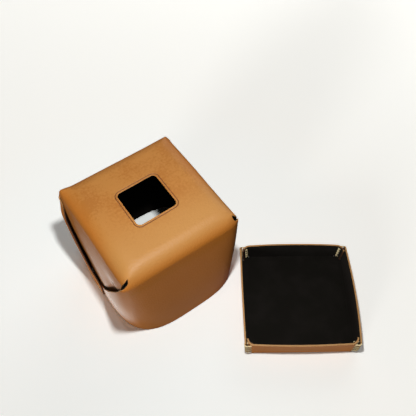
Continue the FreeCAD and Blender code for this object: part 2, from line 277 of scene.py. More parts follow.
# ---- finishes ----
@dataclass(frozen=True)
class GrainLeather:
    """Vegetable-tanned cowhide, waxed and smooth, with its natural fine grain.

    The hide is stained through, so its colour only drifts a little from place to place. Wax leaves a
    satin film that catches light at a low angle. Pores and creases show as a fine pebble.
    """

    colour: str = "#C98841"
    deep_colour: str = "#BE7933"
    front_sheen_colour: str = "#CB924F"      # painted sheen: a lighter, yellower tan on the front of the top, where more light falls
    bend_shade_colour: str = "#D4812F"         # painted shade: a more saturated tan over the bends, which stands in for their weaker sheen
    bend_shade_heights: tuple[float, float, float, float] = (100.0, 116.0, 131.0, 137.4)  # its soft edges
    wall_bounce_colour: str = "#DA863E"         # painted warm bounce light: a redder tan on the walls below the bends, standing in for warm light bounced in the shade
    wall_bounce_heights: tuple[float, float] = (124.0, 104.0)   # from none of it to its full share
    wall_bounce_share: float = 0.85
    crease_colour: str = "#7C4824"
    front_sheen_forward: tuple[float, float] = (5.0, -50.0)  # the painted sheen grows towards the front
    front_sheen_heights: tuple[float, float] = (123.0, 137.0)  # and upwards
    front_sheen_share: float = 0.85
    blotch_mm: float = 34.0
    mottle_mm: float = 2.6
    mottle: float = 0.8                  # how strong the fine mottle is beside the blotches
    mottle_range: tuple[float, float] = (0.75, 1.0)  # over which it runs from one tan to the other
    pebble_mm: float = 1.7               # about twice the real size, so that it shows at arm's length
    pebble_smoothness: float = 0.6
    pore_mm: float = 0.7
    pore_share: float = 0.6              # how deep the pores are beside the pebbles
    relief_mm: float = 0.17
    roughness: float = 0.49
    roughness_drift: float = 0.06
    drift_mm: float = 6.8
    refraction: float = 1.45
    specular_level: float = 0.42
    slant_gloss: float = 0.64            # how much smoother the film looks at the lowest angles
    slant_power: float = 6.0             # how close to those angles it is
    edge_shade_roughness: float = 0.9        # on the parts whose cut edges are painted dark for shade

    def tan_colour(self, tree: bpy.types.NodeTree, place: bpy.types.NodeSocket) -> bpy.types.NodeSocket:
        """Colour of the hide: mottled tan, then painted light and shade over it (a redder tan on the walls,
        a more saturated tan on the bends, a lighter sheen on the front of the top), and creases.

        Args:
            tree: Node tree to add to.
            place: Position in millimetres.

        Returns:
            The colour.
        """
        mottle = maths(tree, "MULTIPLY_ADD", noise(tree, place, self.mottle_mm), self.mottle,
                       noise(tree, place, self.blotch_mm, detail=3.0))
        colour = blend_colours(tree, mottle, *self.mottle_range, self.deep_colour, self.colour)
        axes = add_node(tree, "ShaderNodeSeparateXYZ", None, {0: place})
        # painted warm bounce light: the walls get a redder tan below the bends
        wall = ramp(tree, axes.outputs["Z"], *self.wall_bounce_heights, self.wall_bounce_share)
        colour = mix_colours(tree, wall, colour, self.wall_bounce_colour)
        # painted shade: a more saturated tan over the bends, in place of their weaker sheen
        bend = band(tree, axes.outputs["Z"], self.bend_shade_heights)
        colour = mix_colours(tree, bend, colour, self.bend_shade_colour)
        # painted sheen: the front of the top gets a lighter, yellower tan
        forward = ramp(tree, axes.outputs["Y"], *self.front_sheen_forward, self.front_sheen_share, "SMOOTHSTEP")
        high = ramp(tree, axes.outputs["Z"], *self.front_sheen_heights, 1.0, "SMOOTHSTEP")
        colour = mix_colours(tree, maths(tree, "MULTIPLY", forward, high), colour, self.front_sheen_colour)
        crease = add_node(tree, "ShaderNodeAttribute", {"attribute_name": "crease"})
        return mix_colours(tree, crease.outputs["Fac"], colour, self.crease_colour)

    def grain(self, tree: bpy.types.NodeTree, place: bpy.types.NodeSocket) -> bpy.types.NodeSocket:
        """Normal of the grain: pebbles with finer pores between them.

        Args:
            tree: Node tree to add to.
            place: Position in millimetres.

        Returns:
            The normal.
        """
        pebble = add_node(tree, "ShaderNodeTexVoronoi",
                          {"feature": "SMOOTH_F1", "Scale": 1.0 / self.pebble_mm,
                           "Smoothness": self.pebble_smoothness},
                          {"Vector": place})
        height = maths(tree, "MULTIPLY_ADD", noise(tree, place, self.pore_mm), self.pore_share,
                       pebble.outputs["Distance"])
        return relief(tree, height, self.relief_mm)

    def film(self, tree: bpy.types.NodeTree, place: bpy.types.NodeSocket) -> bpy.types.NodeSocket:
        """Roughness of the wax film: it drifts, falls at the lowest angles and rises on the parts whose cut
        edges are painted dark for shade.

        Args:
            tree: Node tree to add to.
            place: Position in millimetres.

        Returns:
            The roughness.
        """
        drift = add_node(tree, "ShaderNodeMapRange",
                         {"To Min": self.roughness - self.roughness_drift,
                          "To Max": self.roughness + self.roughness_drift},
                         {"Value": noise(tree, place, self.drift_mm)})
        facing = add_node(tree, "ShaderNodeLayerWeight", {"Blend": 0.5})
        slant = maths(tree, "POWER", facing.outputs["Facing"], self.slant_power)
        keep = maths(tree, "MULTIPLY_ADD", slant, -self.slant_gloss, 1.0)
        film = maths(tree, "MULTIPLY", drift.outputs["Result"], keep)
        # faces whose cut edges carry painted shade are made rough
        edge_shade = add_node(tree, "ShaderNodeAttribute", {"attribute_name": "edge_shade"})
        edge_shaded = add_node(tree, "ShaderNodeMix", {"data_type": "FLOAT", 3: self.edge_shade_roughness},
                          {0: edge_shade.outputs["Fac"], 2: film})
        return edge_shaded.outputs[0]

    def material(self) -> bpy.types.Material:
        """Build the material.

        Returns:
            The material.
        """
        material, tree, place = new_material("vegetable_tanned_leather")
        add_shader(tree, {"IOR": self.refraction, "Specular IOR Level": self.specular_level},
                   {"Base Color": self.tan_colour(tree, place), "Roughness": self.film(tree, place),
                    "Normal": self.grain(tree, place)})
        return material


@dataclass(frozen=True)
class CutLeather:
    """Cut edge of the same hide, sanded and rubbed with wax.

    The edge shows the hide's fibres, a little lighter than its face and without its film. Where it lies in
    shade, on the back wings and the tray's back curls, it is painted dark: painted shade.
    """

    colour: str = "#D3A36A"
    deep_colour: str = "#B58146"
    # painted shade on the cut edges of the back wings and the tray's back curls
    edge_shade_colour: str = "#5A3820"
    fibre_mm: float = 0.9
    fibre_range: tuple[float, float] = (0.3, 0.7)  # over which they run from one colour to the other
    relief_mm: float = 0.06
    relief_strength: float = 0.7
    roughness: float = 0.62
    refraction: float = 1.45

    def material(self) -> bpy.types.Material:
        """Build the material.

        Returns:
            The material.
        """
        material, tree, place = new_material("cut_leather_edge")
        fibres = noise(tree, place, self.fibre_mm, detail=4.0)
        colour = blend_colours(tree, fibres, *self.fibre_range, self.deep_colour, self.colour)
        # painted shade: the cut edge turns dark where it lies in shade
        edge_shade = add_node(tree, "ShaderNodeAttribute", {"attribute_name": "edge_shade"})
        colour = mix_colours(tree, edge_shade.outputs["Fac"], colour, self.edge_shade_colour)
        add_shader(tree, {"Roughness": self.roughness, "IOR": self.refraction},
                   {"Base Color": colour,
                    "Normal": relief(tree, fibres, self.relief_mm, self.relief_strength)})
        return material


@dataclass(frozen=True)
class NappedSuede:
    """Black pigskin suede, glued in flesh side up.

    Its short nap swallows light, so it stays near black, with faint warmer patches where the nap lies
    the other way and a slight bloom at a low angle.
    """

    colour: str = "#15130F"
    brushed_colour: str = "#1B1815"
    bloom_colour: str = "#6E645C"
    brush_mm: float = 19.0
    brush_range: tuple[float, float] = (0.42, 0.68)  # over which it runs from one colour to the other
    nap_mm: float = 0.6
    relief_mm: float = 0.12
    relief_strength: float = 0.8
    roughness: float = 0.95
    specular_level: float = 0.12
    bloom: float = 0.12
    bloom_roughness: float = 0.5

    def material(self) -> bpy.types.Material:
        """Build the material.

        Returns:
            The material.
        """
        material, tree, place = new_material("black_suede")
        brushed = noise(tree, place, self.brush_mm, detail=5.0)
        nap = noise(tree, place, self.nap_mm, detail=3.0)
        add_shader(tree, {"Roughness": self.roughness, "Specular IOR Level": self.specular_level,
                          "Sheen Weight": self.bloom, "Sheen Roughness": self.bloom_roughness,
                          "Sheen Tint": linear(self.bloom_colour)},
                   {"Base Color": blend_colours(tree, brushed, *self.brush_range, self.colour,
                                                self.brushed_colour),
                    "Normal": relief(tree, nap, self.relief_mm, self.relief_strength)})
        return material


@dataclass(frozen=True)
class WaxedThread:
    """Three-ply linen thread, twisted and drawn through wax.

    The plies are modelled. The finish adds the fibres' faint streaks and the wax's soft gloss.
    """

    colour: str = "#FFF0C4"
    shaded_colour: str = "#FCDF9E"
    fibre_mm: float = 0.5
    fibre_range: tuple[float, float] = (0.3, 0.65)  # over which they run from one colour to the other
    roughness: float = 0.55
    refraction: float = 1.45

    def material(self) -> bpy.types.Material:
        """Build the material.

        Returns:
            The material.
        """
        material, tree, place = new_material("waxed_linen_thread")
        fibres = noise(tree, place, self.fibre_mm, detail=3.0)
        colour = blend_colours(tree, fibres, *self.fibre_range, self.shaded_colour, self.colour)
        add_shader(tree, {"Roughness": self.roughness, "IOR": self.refraction}, {"Base Color": colour})
        return material


# ---- surfaces ----
def patch_quads(rows: int, columns: int, first: int) -> np.ndarray:
    """Corner numbers of each square of a grid, wound so that rows x columns points outwards.

    Args:
        rows: Points down the grid.
        columns: Points across it.
        first: Number of the grid's first point.

    Returns:
        Array of four corner numbers for each square.
    """
    numbers = first + np.arange(rows * columns).reshape(rows, columns)
    corners = [numbers[:-1, :-1], numbers[1:, :-1], numbers[1:, 1:], numbers[:-1, 1:]]
    return np.stack(corners, axis=-1).reshape(-1, 4)


def spread(count: int, crowding: float) -> np.ndarray:
    """Shares from -1 to 1, crowded towards both ends: u becomes u + crowding * sin(pi * u) / pi."""
    even = np.linspace(-1.0, 1.0, count)
    return even + crowding * np.sin(math.pi * even) / math.pi


def ease(share: np.ndarray) -> np.ndarray:
    """Smooth step: 3 t squared minus 2 t cubed, with t held between 0 and 1."""
    held = np.clip(share, 0.0, 1.0)
    return held * held * (3.0 - 2.0 * held)


def step(value: np.ndarray, start: float, end: float) -> np.ndarray:
    """Smooth step from 0 where value is start to 1 where it is end."""
    return ease((value - start) / (end - start))


def ring_reach(angle: np.ndarray, out_half: np.ndarray, across_half: np.ndarray,
               squareness: np.ndarray) -> np.ndarray:
    """Distance from the middle to a rounded square at each angle.

    The rounded square holds the points where (out / out_half) to the power squareness, plus the same for
    across, is 1.

    Args:
        angle: Angle from the out direction, in radians.
        out_half: Half size along the out direction.
        across_half: Half size along the across direction.
        squareness: The power, 2 for an ellipse and larger for a squarer shape.

    Returns:
        The distance for each angle.
    """
    out = np.abs(np.cos(angle)) / out_half
    across = np.abs(np.sin(angle)) / across_half
    return (out ** squareness + across ** squareness) ** (-1.0 / squareness)


def rounded_square_reach(angle: np.ndarray, half: np.ndarray, radius: np.ndarray) -> np.ndarray:
    """Distance from the middle to a square with round corners at each angle.

    A ray meets the straight side at half / cos(angle). Past the corner's centre it meets the corner's
    circle, where its distance t solves |t * ray - centre| = radius.

    Args:
        angle: Angle from the middle of a side, within an eighth of a turn.
        half: Half the square's width.
        radius: Corner radius.

    Returns:
        The distance for each angle.
    """
    out, across = np.cos(angle), np.abs(np.sin(angle))
    side = half / out
    centre = half - radius
    along = centre * (out + across)
    corner = along + np.sqrt(np.maximum(along ** 2 - 2.0 * centre ** 2 + radius ** 2, 0.0))
    return np.where(side * across > centre, corner, side)


def uneven(points: np.ndarray, amount: float) -> np.ndarray:
    """Push points about by the slow waves that hand-folded hide keeps.

    Each coordinate moves by amount times a sum of sine waves of the other coordinates. Their lengths
    share no common measure, so that the pattern never repeats. The table keeps the foot flat.

    Args:
        points: Points in millimetres.
        amount: Largest push, in millimetres.

    Returns:
        The moved points.
    """
    x, y, z = points[..., 0], points[..., 1], points[..., 2]
    flat_foot = 12.0
    weaker = 0.6
    lift = np.minimum(z / flat_foot, 1.0)
    push_x = np.sin(y / 17.0 + 0.6) * np.cos(z / 27.0 + 1.1) + weaker * np.sin(z / 13.0 - y / 29.0)
    push_y = np.sin(x / 19.0 - 0.9) * np.cos(z / 31.0 + 0.2) + weaker * np.sin(z / 15.0 + x / 37.0 + 2.0)
    push_z = np.sin(x / 23.0 + 0.4) * np.sin(y / 21.0 + 1.7) - 1.0
    return points + 0.5 * amount * np.stack([push_x * lift, push_y * lift, push_z * lift], axis=-1)


@dataclass
class Patch:
    """One grid of a sheet: its points, how deeply each is creased, and how dark its cut edge is painted for
    shade.

    Creases and painted edge shade run from 0 to 1.
    """

    points: np.ndarray
    crease: np.ndarray
    edge_shade: np.ndarray | float = 0.0


def grid(x: np.ndarray | float, y: np.ndarray | float, z: np.ndarray | float) -> np.ndarray:
    """Grid of points from coordinates that are spread over its rows and columns."""
    return np.stack(np.broadcast_arrays(x, y, z), axis=-1)


def plain_patch(points: np.ndarray) -> Patch:
    """Patch with no crease."""
    return Patch(points, np.zeros(points.shape[:2]))


def welded_mesh(name: str, patches: Sequence[Patch]) -> bpy.types.Mesh:
    """Join patches into one surface, with the borders that they share welded.

    Args:
        name: Name of the mesh.
        patches: Grids in millimetres, each wound outwards.

    Returns:
        The welded mesh, in metres.
    """
    points = np.concatenate([patch.points.reshape(-1, 3) for patch in patches]) * MM
    crease = np.concatenate([patch.crease.reshape(-1) for patch in patches])
    quads, first = [], 0
    for patch in patches:
        rows, columns = patch.points.shape[:2]
        quads.append(patch_quads(rows, columns, first))
        first += rows * columns
    mesh = bpy.data.meshes.new(name)
    mesh.from_pydata(points.tolist(), [], np.concatenate(quads).tolist())
    mesh.attributes.new("crease", "FLOAT", "POINT").data.foreach_set("value", crease)
    # how dark each cut edge is painted for shade
    edge_shade = np.concatenate([np.broadcast_to(patch.edge_shade, patch.points.shape[:2]).reshape(-1)
                              for patch in patches])
    mesh.attributes.new("edge_shade", "FLOAT", "POINT").data.foreach_set("value", edge_shade)
    shape = bmesh.new()
    shape.from_mesh(mesh)
    bmesh.ops.remove_doubles(shape, verts=shape.verts, dist=WELD_MM * MM)
    bmesh.ops.dissolve_degenerate(shape, edges=shape.edges, dist=SLIVER_MM * MM)
    shape.to_mesh(mesh)
    shape.free()
    mesh.shade_smooth()
    return mesh


def sunk_copy(mesh: bpy.types.Mesh, name: str, depth: float, floor: float | None) -> bpy.types.Mesh:
    """Copy of a surface with each point moved inwards along its normal.

    Args:
        mesh: The outer surface.
        name: Name of the copy.
        depth: How far in, in millimetres.
        floor: Height below which no point may lie, in millimetres, or None.

    Returns:
        The new mesh.
    """
    copy = mesh.copy()
    copy.name = name
    places = np.empty(len(mesh.vertices) * 3)
    normals = np.empty(len(mesh.vertices) * 3)
    mesh.vertices.foreach_get("co", places)
    mesh.vertex_normals.foreach_get("vector", normals)
    places -= normals * depth * MM
    if floor is not None:
        places[2::3] = np.maximum(places[2::3], floor * MM)
    copy.vertices.foreach_set("co", places)
    copy.update()
    return copy


def sheet_object(mesh: bpy.types.Mesh, thickness: float, edge_round: float,
                 face: bpy.types.Material, edge: bpy.types.Material) -> bpy.types.Object:
    """Give a surface its thickness, inwards, and round its cut edges.

    Args:
        mesh: Outer surface of the sheet.
        thickness: Thickness in millimetres.
        edge_round: Width of the rounding along cut edges, in millimetres.
        face: Material of both faces.
        edge: Material of the cut edges.

    Returns:
        The new piece.
    """
    piece = add_object(mesh.name, mesh)
    mesh.materials.clear()
    mesh.materials.append(face)
    mesh.materials.append(edge)
    wall = piece.modifiers.new("thickness", "SOLIDIFY")
    wall.thickness = thickness * MM
    wall.offset = -1.0
    wall.material_offset_rim = 1
    round_off = piece.modifiers.new("rubbed edges", "BEVEL")
    round_off.width = edge_round * MM
    round_off.segments = ROUNDING_STEPS
    round_off.limit_method = "ANGLE"
    round_off.angle_limit = math.radians(ROUNDED_FROM)
    round_off.harden_normals = True
    return piece


# ---- cover ----
class Side(Enum):
    """Side of the cover, with the angle of its outward direction in degrees."""

    FRONT = -90.0
    RIGHT = 0.0
    BACK = 90.0
    LEFT = 180.0


@dataclass
class Cover:
    """The folded cover: hide and lining. Sizes are in millimetres."""

    leather: float = 1.1
    suede: float = 0.5
    height: float = 138.0
    bend_radius: float = 18.0
    top_half_width: float = 65.8
    top_half_depth: float = 67.9
    foot_half_depth: float = 71.2
    foot_squareness: dict[Side, float] = field(  # of each side wall's front corner at the foot
        default_factory=lambda: {Side.LEFT: 3.3, Side.RIGHT: 4.0})
    back_foot_squareness: float = 3.6
    front_squareness: float = 11.5       # of the front corners at the shoulder
    back_squareness: float = 60.0
    squareness_growth: float = 0.8       # below 1, the corners sharpen faster low down
    flap_squareness: float = 90.0        # of the flaps, which stay flat to their edges
    ridge_front_squareness: float = 26.0  # of the mitres, where the relief holes start
    ridge_back_squareness: float = 160.0
    flat_front_squareness: float = 9.0   # of the line where the bends start
    flat_back_squareness: float = 50.0
    front_relief_angle: float = 45.0     # round the bend, where a front relief hole starts
    back_relief_angle: float = 72.0
    relief_panel_cut: dict[Side, float] = field(  # how far a hole cuts into a panel, at each end of it
        default_factory=lambda: {Side.LEFT: 3.4, Side.RIGHT: 5.0, Side.BACK: 0.4})
    relief_flap_cut: float = 0.7
    wing_start: float = 63.5             # a wing's top corner, from the middle of the side
    wing_corner_height: float = 120.0
    wing_front_top: float = 69.4
    wing_front_foot: float = 70.9
    wing_front_belly: float = 0.9
    wing_back_top: float = 67.6
    wing_back_foot: float = 71.0
    wing_back_belly: float = 1.9
    wing_drop_height: float = 24.0       # the back wing comes in to its corner over this height
    tab_height: float = 19.5
    back_wing_end: float = 3.0
    front_wing_end: float = 25.0
    lap_start: dict[Side, float] = field(        # where each wing flattens for the lap
        default_factory=lambda: {Side.FRONT: 8.0, Side.BACK: 36.0})
    lap_face: dict[Side, float] = field(         # how far out its face stands there
        default_factory=lambda: {Side.FRONT: 70.3, Side.BACK: 72.0})
    lap_top: float = 38.0
    lap_ease: float = 12.0               # it flattens over this length
    flap_top_front: dict[Side, float] = field(   # flap's front edge, from the middle of the side
        default_factory=lambda: {Side.LEFT: 58.5, Side.RIGHT: 60.5})
    flap_top_back: float = 65.5
    flap_foot_front: float = 42.0
    flap_foot_back: float = 45.0
    flap_lean: float = 2.6               # how far a flap bellies out
    flap_lean_share: float = 0.38        # over this share of its height
    flap_tuck: float = 3.2               # how far its foot goes in behind the lap
    flap_tuck_height: float = 28.0
    ear: float = 2.6                     # how far the back left corner of the top stands out
    ear_size: float = 7.0
    ear_angle: float = 48.0              # its place round the bend
    ear_towards: tuple[float, float, float] = (-0.72, 0.66, 0.2)
    dent_depth: float = 2.2              # where the front wing presses the flap in
    dent_place: float = -36.0
    dent_height: float = 74.0
    dent_size: float = 20.0
    spring: float = 2.4                  # how far the front left wing springs out
    spring_across: tuple[float, float] = (-55.0, -65.0)  # from none to all of it, across the corner,
    spring_back: tuple[float, float] = (8.0, -22.0)      # towards the wing's end,
    spring_top: tuple[float, float] = (131.0, 121.0)     # down from the top
    spring_foot: tuple[float, float] = (0.0, 80.0)       # and up from the foot
    flap_foot_clearance: float = 2.0
    opening_half: float = 22.3
    opening_radius: float = 4.4
    crease_offset: float = 2.3
    crease_width: float = 0.52
    crease_depth: float = 0.4
    band_swell: float = 0.28             # the band inside the crease stands this proud
    unevenness: float = 0.45
    back_settle: float = 1.3             # how far the back of the top is drawn forwards
    settle_towards: tuple[float, float, float] = (0.0, -1.0, -0.35)
    settle_back: tuple[float, float] = (0.0, 50.0)       # from none to all of it, towards the back
    settle_height: tuple[float, float] = (90.0, 130.0)   # and upwards
    lining_trim: float = 0.5
    hide_round: float = 0.4              # rounding of the cut edges
    lining_round: float = 0.15
    edge_shade_length: float = 9.0          # painted shade on a back wing's cut edge, grown to full this far from its top corner
    crease_rows_end: float = 3.6         # close rows run from the opening to here, for the crease
    crease_rows: int = 25
    fading_rows: tuple[float, ...] = (4.2, 5.0, 6.0)     # then these, still parallel to the opening
    top_rows_beyond: int = 13
    column_crowding: float = 0.55
    wing_column_growth: float = 1.15     # above 1, a wing's columns crowd towards its corner
    panel_columns: int = 84
    wing_columns: int = 44
    bend_rows: int = 14
    wall_rows: int = 46

    @property
    def shoulder(self) -> float:
        """Height at which the bends end."""
        return self.height - self.bend_radius

    @property
    def columns(self) -> np.ndarray:
        """Place of each column of a side, from -1 to 1, as a row."""
        return spread(self.panel_columns, self.column_crowding)[None, :]

    def by_corner(self, side: Side, columns: np.ndarray, front: float, back: float) -> np.ndarray:
        """Value of the corner that each column runs to.

        Args:
            side: The side that the columns belong to.
            columns: Place of each column, from -1 to 1.
            front: Value of the front corners.
            back: Value of the back corners.

        Returns:
            The value for each column.
        """
        first, last = {Side.FRONT: (front, front), Side.RIGHT: (front, back),
                       Side.BACK: (back, back), Side.LEFT: (back, front)}[side]
        return np.where(columns < 0.0, first, last)

    def corner_squareness(self, side: Side, columns: np.ndarray) -> np.ndarray:
        """Squareness at the shoulder of the corner that each column runs to."""
        return self.by_corner(side, columns, self.front_squareness, self.back_squareness)

    def flat_squareness(self, side: Side, columns: np.ndarray) -> np.ndarray:
        """Squareness of the flat top's outline at the corner that each column runs to."""
        return self.by_corner(side, columns, self.flat_front_squareness, self.flat_back_squareness)

    def wall_squareness(self, side: Side, height: np.ndarray, corner: np.ndarray,
                        turn: np.ndarray | float) -> np.ndarray:
        """Squareness of a panel's outline; its inverse falls from foot to shoulder, faster low down.

        Args:
            side: FRONT or BACK.
            height: Heights in millimetres.
            corner: Squareness at the shoulder.
            turn: Positive towards the anticlockwise end of the panel, negative towards the other.

        Returns:
            The squareness at each point.
        """
        share = np.clip(height / self.shoulder, 0.0, 1.0) ** self.squareness_growth
        left, right = self.foot_squareness[Side.LEFT], self.foot_squareness[Side.RIGHT]
        front_foot = np.where(np.asarray(turn) < 0.0, left, right)
        foot = 1.0 / (front_foot if side is Side.FRONT else self.back_foot_squareness)
        return 1.0 / (foot + (1.0 / corner - foot) * share)

    def bend_squareness(self, angle: np.ndarray, side: Side, columns: np.ndarray,
                        corner: np.ndarray | float) -> np.ndarray:
        """Squareness of the outline at an angle round the bend.

        Its inverse follows the sine of the angle, first to where the relief hole starts and then to the
        shoulder.

        Args:
            angle: Angles round the bend.
            side: Side that the columns belong to.
            columns: Place of each column, from -1 to 1.
            corner: Squareness at the shoulder.

        Returns:
            The squareness at each point.
        """
        start = np.sin(np.radians(self.by_corner(side, columns, self.front_relief_angle,
                                                 self.back_relief_angle)))
        flat = 1.0 / self.flat_squareness(side, columns)
        ridge = 1.0 / self.by_corner(side, columns, self.ridge_front_squareness, self.ridge_back_squareness)
        above = flat + (ridge - flat) * np.sin(angle) / start
        below = ridge + (1.0 / corner - ridge) * (np.sin(angle) - start) / (1.0 - start)
        return 1.0 / np.where(np.sin(angle) < start, above, below)

    def flat_halves(self, side: Side) -> tuple[float, float]:
        """Half sizes of the flat top.

        Args:
            side: The side whose outward direction is meant.

        Returns:
            Half sizes along that direction and across it.
        """
        width = self.top_half_width - self.bend_radius
        depth = self.top_half_depth - self.bend_radius
        return (depth, width) if side in (Side.FRONT, Side.BACK) else (width, depth)

    def bend_ring(self, side: Side,
                  angle: np.ndarray | float) -> tuple[np.ndarray, np.ndarray, np.ndarray]:
        """Size and height of the outline at each angle round the bend.

        Args:
            side: The side whose outward direction is meant.
            angle: Angles round the bend.

        Returns:
            Half sizes along the outward direction, half sizes across it, and heights.
        """
        out_flat, across_flat = self.flat_halves(side)
        grown = self.bend_radius * np.sin(angle)
        height = self.height - self.bend_radius * (1.0 - np.cos(angle))
        return out_flat + grown, across_flat + grown, height

    def wing_half_width(self, side: Side, height: np.ndarray) -> np.ndarray:
        """How far out the wings of the front or back panel stand.

        The half-width runs evenly from foot to top with a belly of one sine wave, and the back wing
        comes in to its top corner by a smooth step.

        Args:
            side: The panel that the wings belong to.
            height: Heights in millimetres.

        Returns:
            Half-width at each height.
        """
        share = np.clip(height / self.wing_corner_height, 0.0, 1.0)
        swell = np.sin(math.pi * share)
        if side is Side.FRONT:
            straight = self.wing_front_foot + (self.wing_front_top - self.wing_front_foot) * share
            return straight + self.wing_front_belly * swell
        drop = ease((height - self.wing_corner_height + self.wing_drop_height) / self.wing_drop_height)
        level = self.wing_back_foot + self.wing_back_belly * swell
        return level + (self.wing_back_top - level) * drop

    def panel_half_depth(self, height: np.ndarray) -> np.ndarray:
        """How far out the face of a panel stands, by a straight slope."""
        share = np.clip(height / self.shoulder, 0.0, 1.0)
        return self.foot_half_depth + (self.top_half_depth - self.foot_half_depth) * share

    def wall_half_depth(self, height: np.ndarray) -> np.ndarray:
        """How far out the face of a panel stands, also above the shoulder, where it follows the bend.

        Args:
            height: Heights in millimetres.

        Returns:
            Half-depth at each height.
        """
        rise = np.clip(height - self.shoulder, 0.0, None)
        bend = self.bend_radius - np.sqrt(self.bend_radius ** 2 - rise ** 2)
        return self.panel_half_depth(height) - bend

    def placed(self, side: Side, angle: np.ndarray, reach: np.ndarray, height: np.ndarray) -> np.ndarray:
        """Points at an angle and distance from the middle, seen from a side's outward direction.

        Args:
            side: The side.
            angle: Angles from its outward direction.
            reach: Distances from the middle.
            height: Heights.

        Returns:
            The points.
        """
        turned = angle + math.radians(side.value)
        height = np.broadcast_to(height, turned.shape)
        return np.stack([reach * np.cos(turned), reach * np.sin(turned), height], axis=-1)

    def flat_top(self, side: Side) -> Patch:
        """Flat top of one side, from the opening to the start of the bend.

        The first rows are parallel to the opening, with a pressed crease: a bell curve downwards, and a
        half sine wave upwards between it and the edge. The others run evenly out to the bend.

        Args:
            side: Which side.

        Returns:
            The patch.
        """
        out_half, across_half = self.flat_halves(side)
        fine = np.linspace(0.0, self.crease_rows_end, self.crease_rows)
        near = np.concatenate([fine, self.fading_rows])[:, None]
        share = np.linspace(0.0, 1.0, self.top_rows_beyond)[1:, None]
        columns = self.columns
        corner = math.atan2(across_half, out_half)
        near_angle = columns * math.pi / 4.0 + 0.0 * near
        near_reach = rounded_square_reach(near_angle, self.opening_half + near, self.opening_radius + near)
        far_angle = columns * (math.pi / 4.0 + (corner - math.pi / 4.0) * share)
        start = rounded_square_reach(columns * math.pi / 4.0, self.opening_half + near[-1],
                                     self.opening_radius + near[-1])
        end = ring_reach(columns * corner, out_half, across_half, self.flat_squareness(side, columns))
        far_reach = start + (end - start) * share
        dip = np.exp(-((near - self.crease_offset) / self.crease_width) ** 2)
        swell = np.sin(math.pi * np.clip(near / self.crease_offset, 0.0, 1.0))
        near_height = self.height - self.crease_depth * dip + self.band_swell * swell
        points = np.concatenate([
            self.placed(side, near_angle, near_reach, near_height),
            self.placed(side, far_angle, far_reach, self.height),
        ])
        crease = np.zeros(points.shape[:2])
        crease[:len(near)] = dip
        return Patch(points, crease)

    def bend_angles(self, last: float = 90.0) -> np.ndarray:
        """Angles round the bend below the front relief holes' inner tips.

        Panels and flaps share the first ones, down to the back holes' inner tips.

        Args:
            last: Last angle in degrees, 90 for a bend that ends upright.

        Returns:
            A column of angles in radians.
        """
        shared = np.linspace(self.front_relief_angle, self.back_relief_angle, self.bend_rows // 2)
        rest = np.linspace(self.back_relief_angle, last, self.bend_rows)[1:]
        return np.radians(np.concatenate([shared, rest]))[:, None]

    def shared_bend(self, side: Side) -> Patch:
        """The bend from the flat top to the front relief holes' inner tips.

        Args:
            side: Which side.

        Returns:
            The patch.
        """
        angle = np.radians(np.linspace(0.0, self.front_relief_angle, self.bend_rows))[:, None]
        out_half, across_half, height = self.bend_ring(side, angle)
        columns = self.columns
        polar = columns * np.arctan2(across_half, out_half)
        squareness = self.bend_squareness(angle, side, columns, self.front_squareness)
        reach = ring_reach(polar, out_half, across_half, squareness)
        return plain_patch(self.placed(side, polar, reach, height))

    def hole_border(self, side: Side, angle: np.ndarray, corner: float, relief_angle: float,
                    cut: float) -> np.ndarray:
        """Where a sheet ends beside a relief hole, as an angle from the side's outward direction.

        Down to the hole's inner tip it ends at the mitre. Then it runs to its own corner, set back by a
        half sine wave that leaves the hole the shape of a leaf.

        Args:
            side: The side that the sheet belongs to.
            angle: Angles round the bend.
            corner: Where the sheet's corner is, as an angle from the outward direction.
            relief_angle: Angle round the bend of the hole's inner tip, in degrees.
            cut: How deep the set-back is.

        Returns:
            The border for each row.
        """
        out_half, across_half, _ = self.bend_ring(side, angle)
        mitre = np.arctan2(across_half, out_half)
        start = math.radians(relief_angle)
        tip_out, tip_across, _ = self.bend_ring(side, start)
        tip = math.atan2(tip_across, tip_out)
        share = np.clip((angle - start) / (angle[-1] - start), 0.0, 1.0)
        leaf = cut / (math.sqrt(2.0) * out_half) * np.sin(math.pi * share)
        return np.where(angle < start, mitre, tip + (corner - tip) * share - leaf)

    def panel_bend(self, side: Side) -> Patch:
        """Bend of the front or back panel, from the relief holes' inner tips to the wings' top corners.

        Args:
            side: FRONT or BACK.

        Returns:
            The patch.
        """
        last = math.acos(1.0 - (self.height - self.wing_corner_height) / self.bend_radius)
        relief_angle = self.front_relief_angle if side is Side.FRONT else self.back_relief_angle
        angle = self.bend_angles(math.degrees(last))
        out_half, across_half, height = self.bend_ring(side, angle)
        across_end = float(self.wing_half_width(side, np.array(self.wing_corner_height)))
        grown = across_end - self.bend_ring(side, last)[1]
        across_half = across_half + grown * step(angle, math.radians(relief_angle), angle[-1])
        corner = math.atan2(across_end, self.wing_start)
        columns = self.columns
        ends = (Side.LEFT, Side.RIGHT) if side is Side.FRONT else (Side.BACK, Side.BACK)
        borders = [self.hole_border(side, angle, corner, relief_angle, self.relief_panel_cut[end])
                   for end in ends]
        polar = columns * np.where(columns < 0.0, borders[0], borders[1])
        corners = self.corner_squareness(side, columns)
        squareness = self.bend_squareness(angle, side, columns, corners)
        reach = ring_reach(polar, out_half, across_half, squareness)
        return plain_patch(self.placed(side, polar, reach, height))

    def panel_wall(self, side: Side) -> Patch:
        """Wall of the front or back panel, between its wings.

        Args:
            side: FRONT or BACK.

        Returns:
            The patch.
        """
        columns = self.columns
        height = self.wing_corner_height * np.linspace(1.0, 0.0, self.wall_rows)[:, None]
        across_half = self.wing_half_width(side, height)
        polar = columns * np.arctan2(across_half, self.wing_start)
        squareness = self.wall_squareness(side, height, self.corner_squareness(side, columns), columns)
        reach = ring_reach(polar, self.wall_half_depth(height), across_half, squareness)
        return plain_patch(self.placed(side, polar, reach, height))

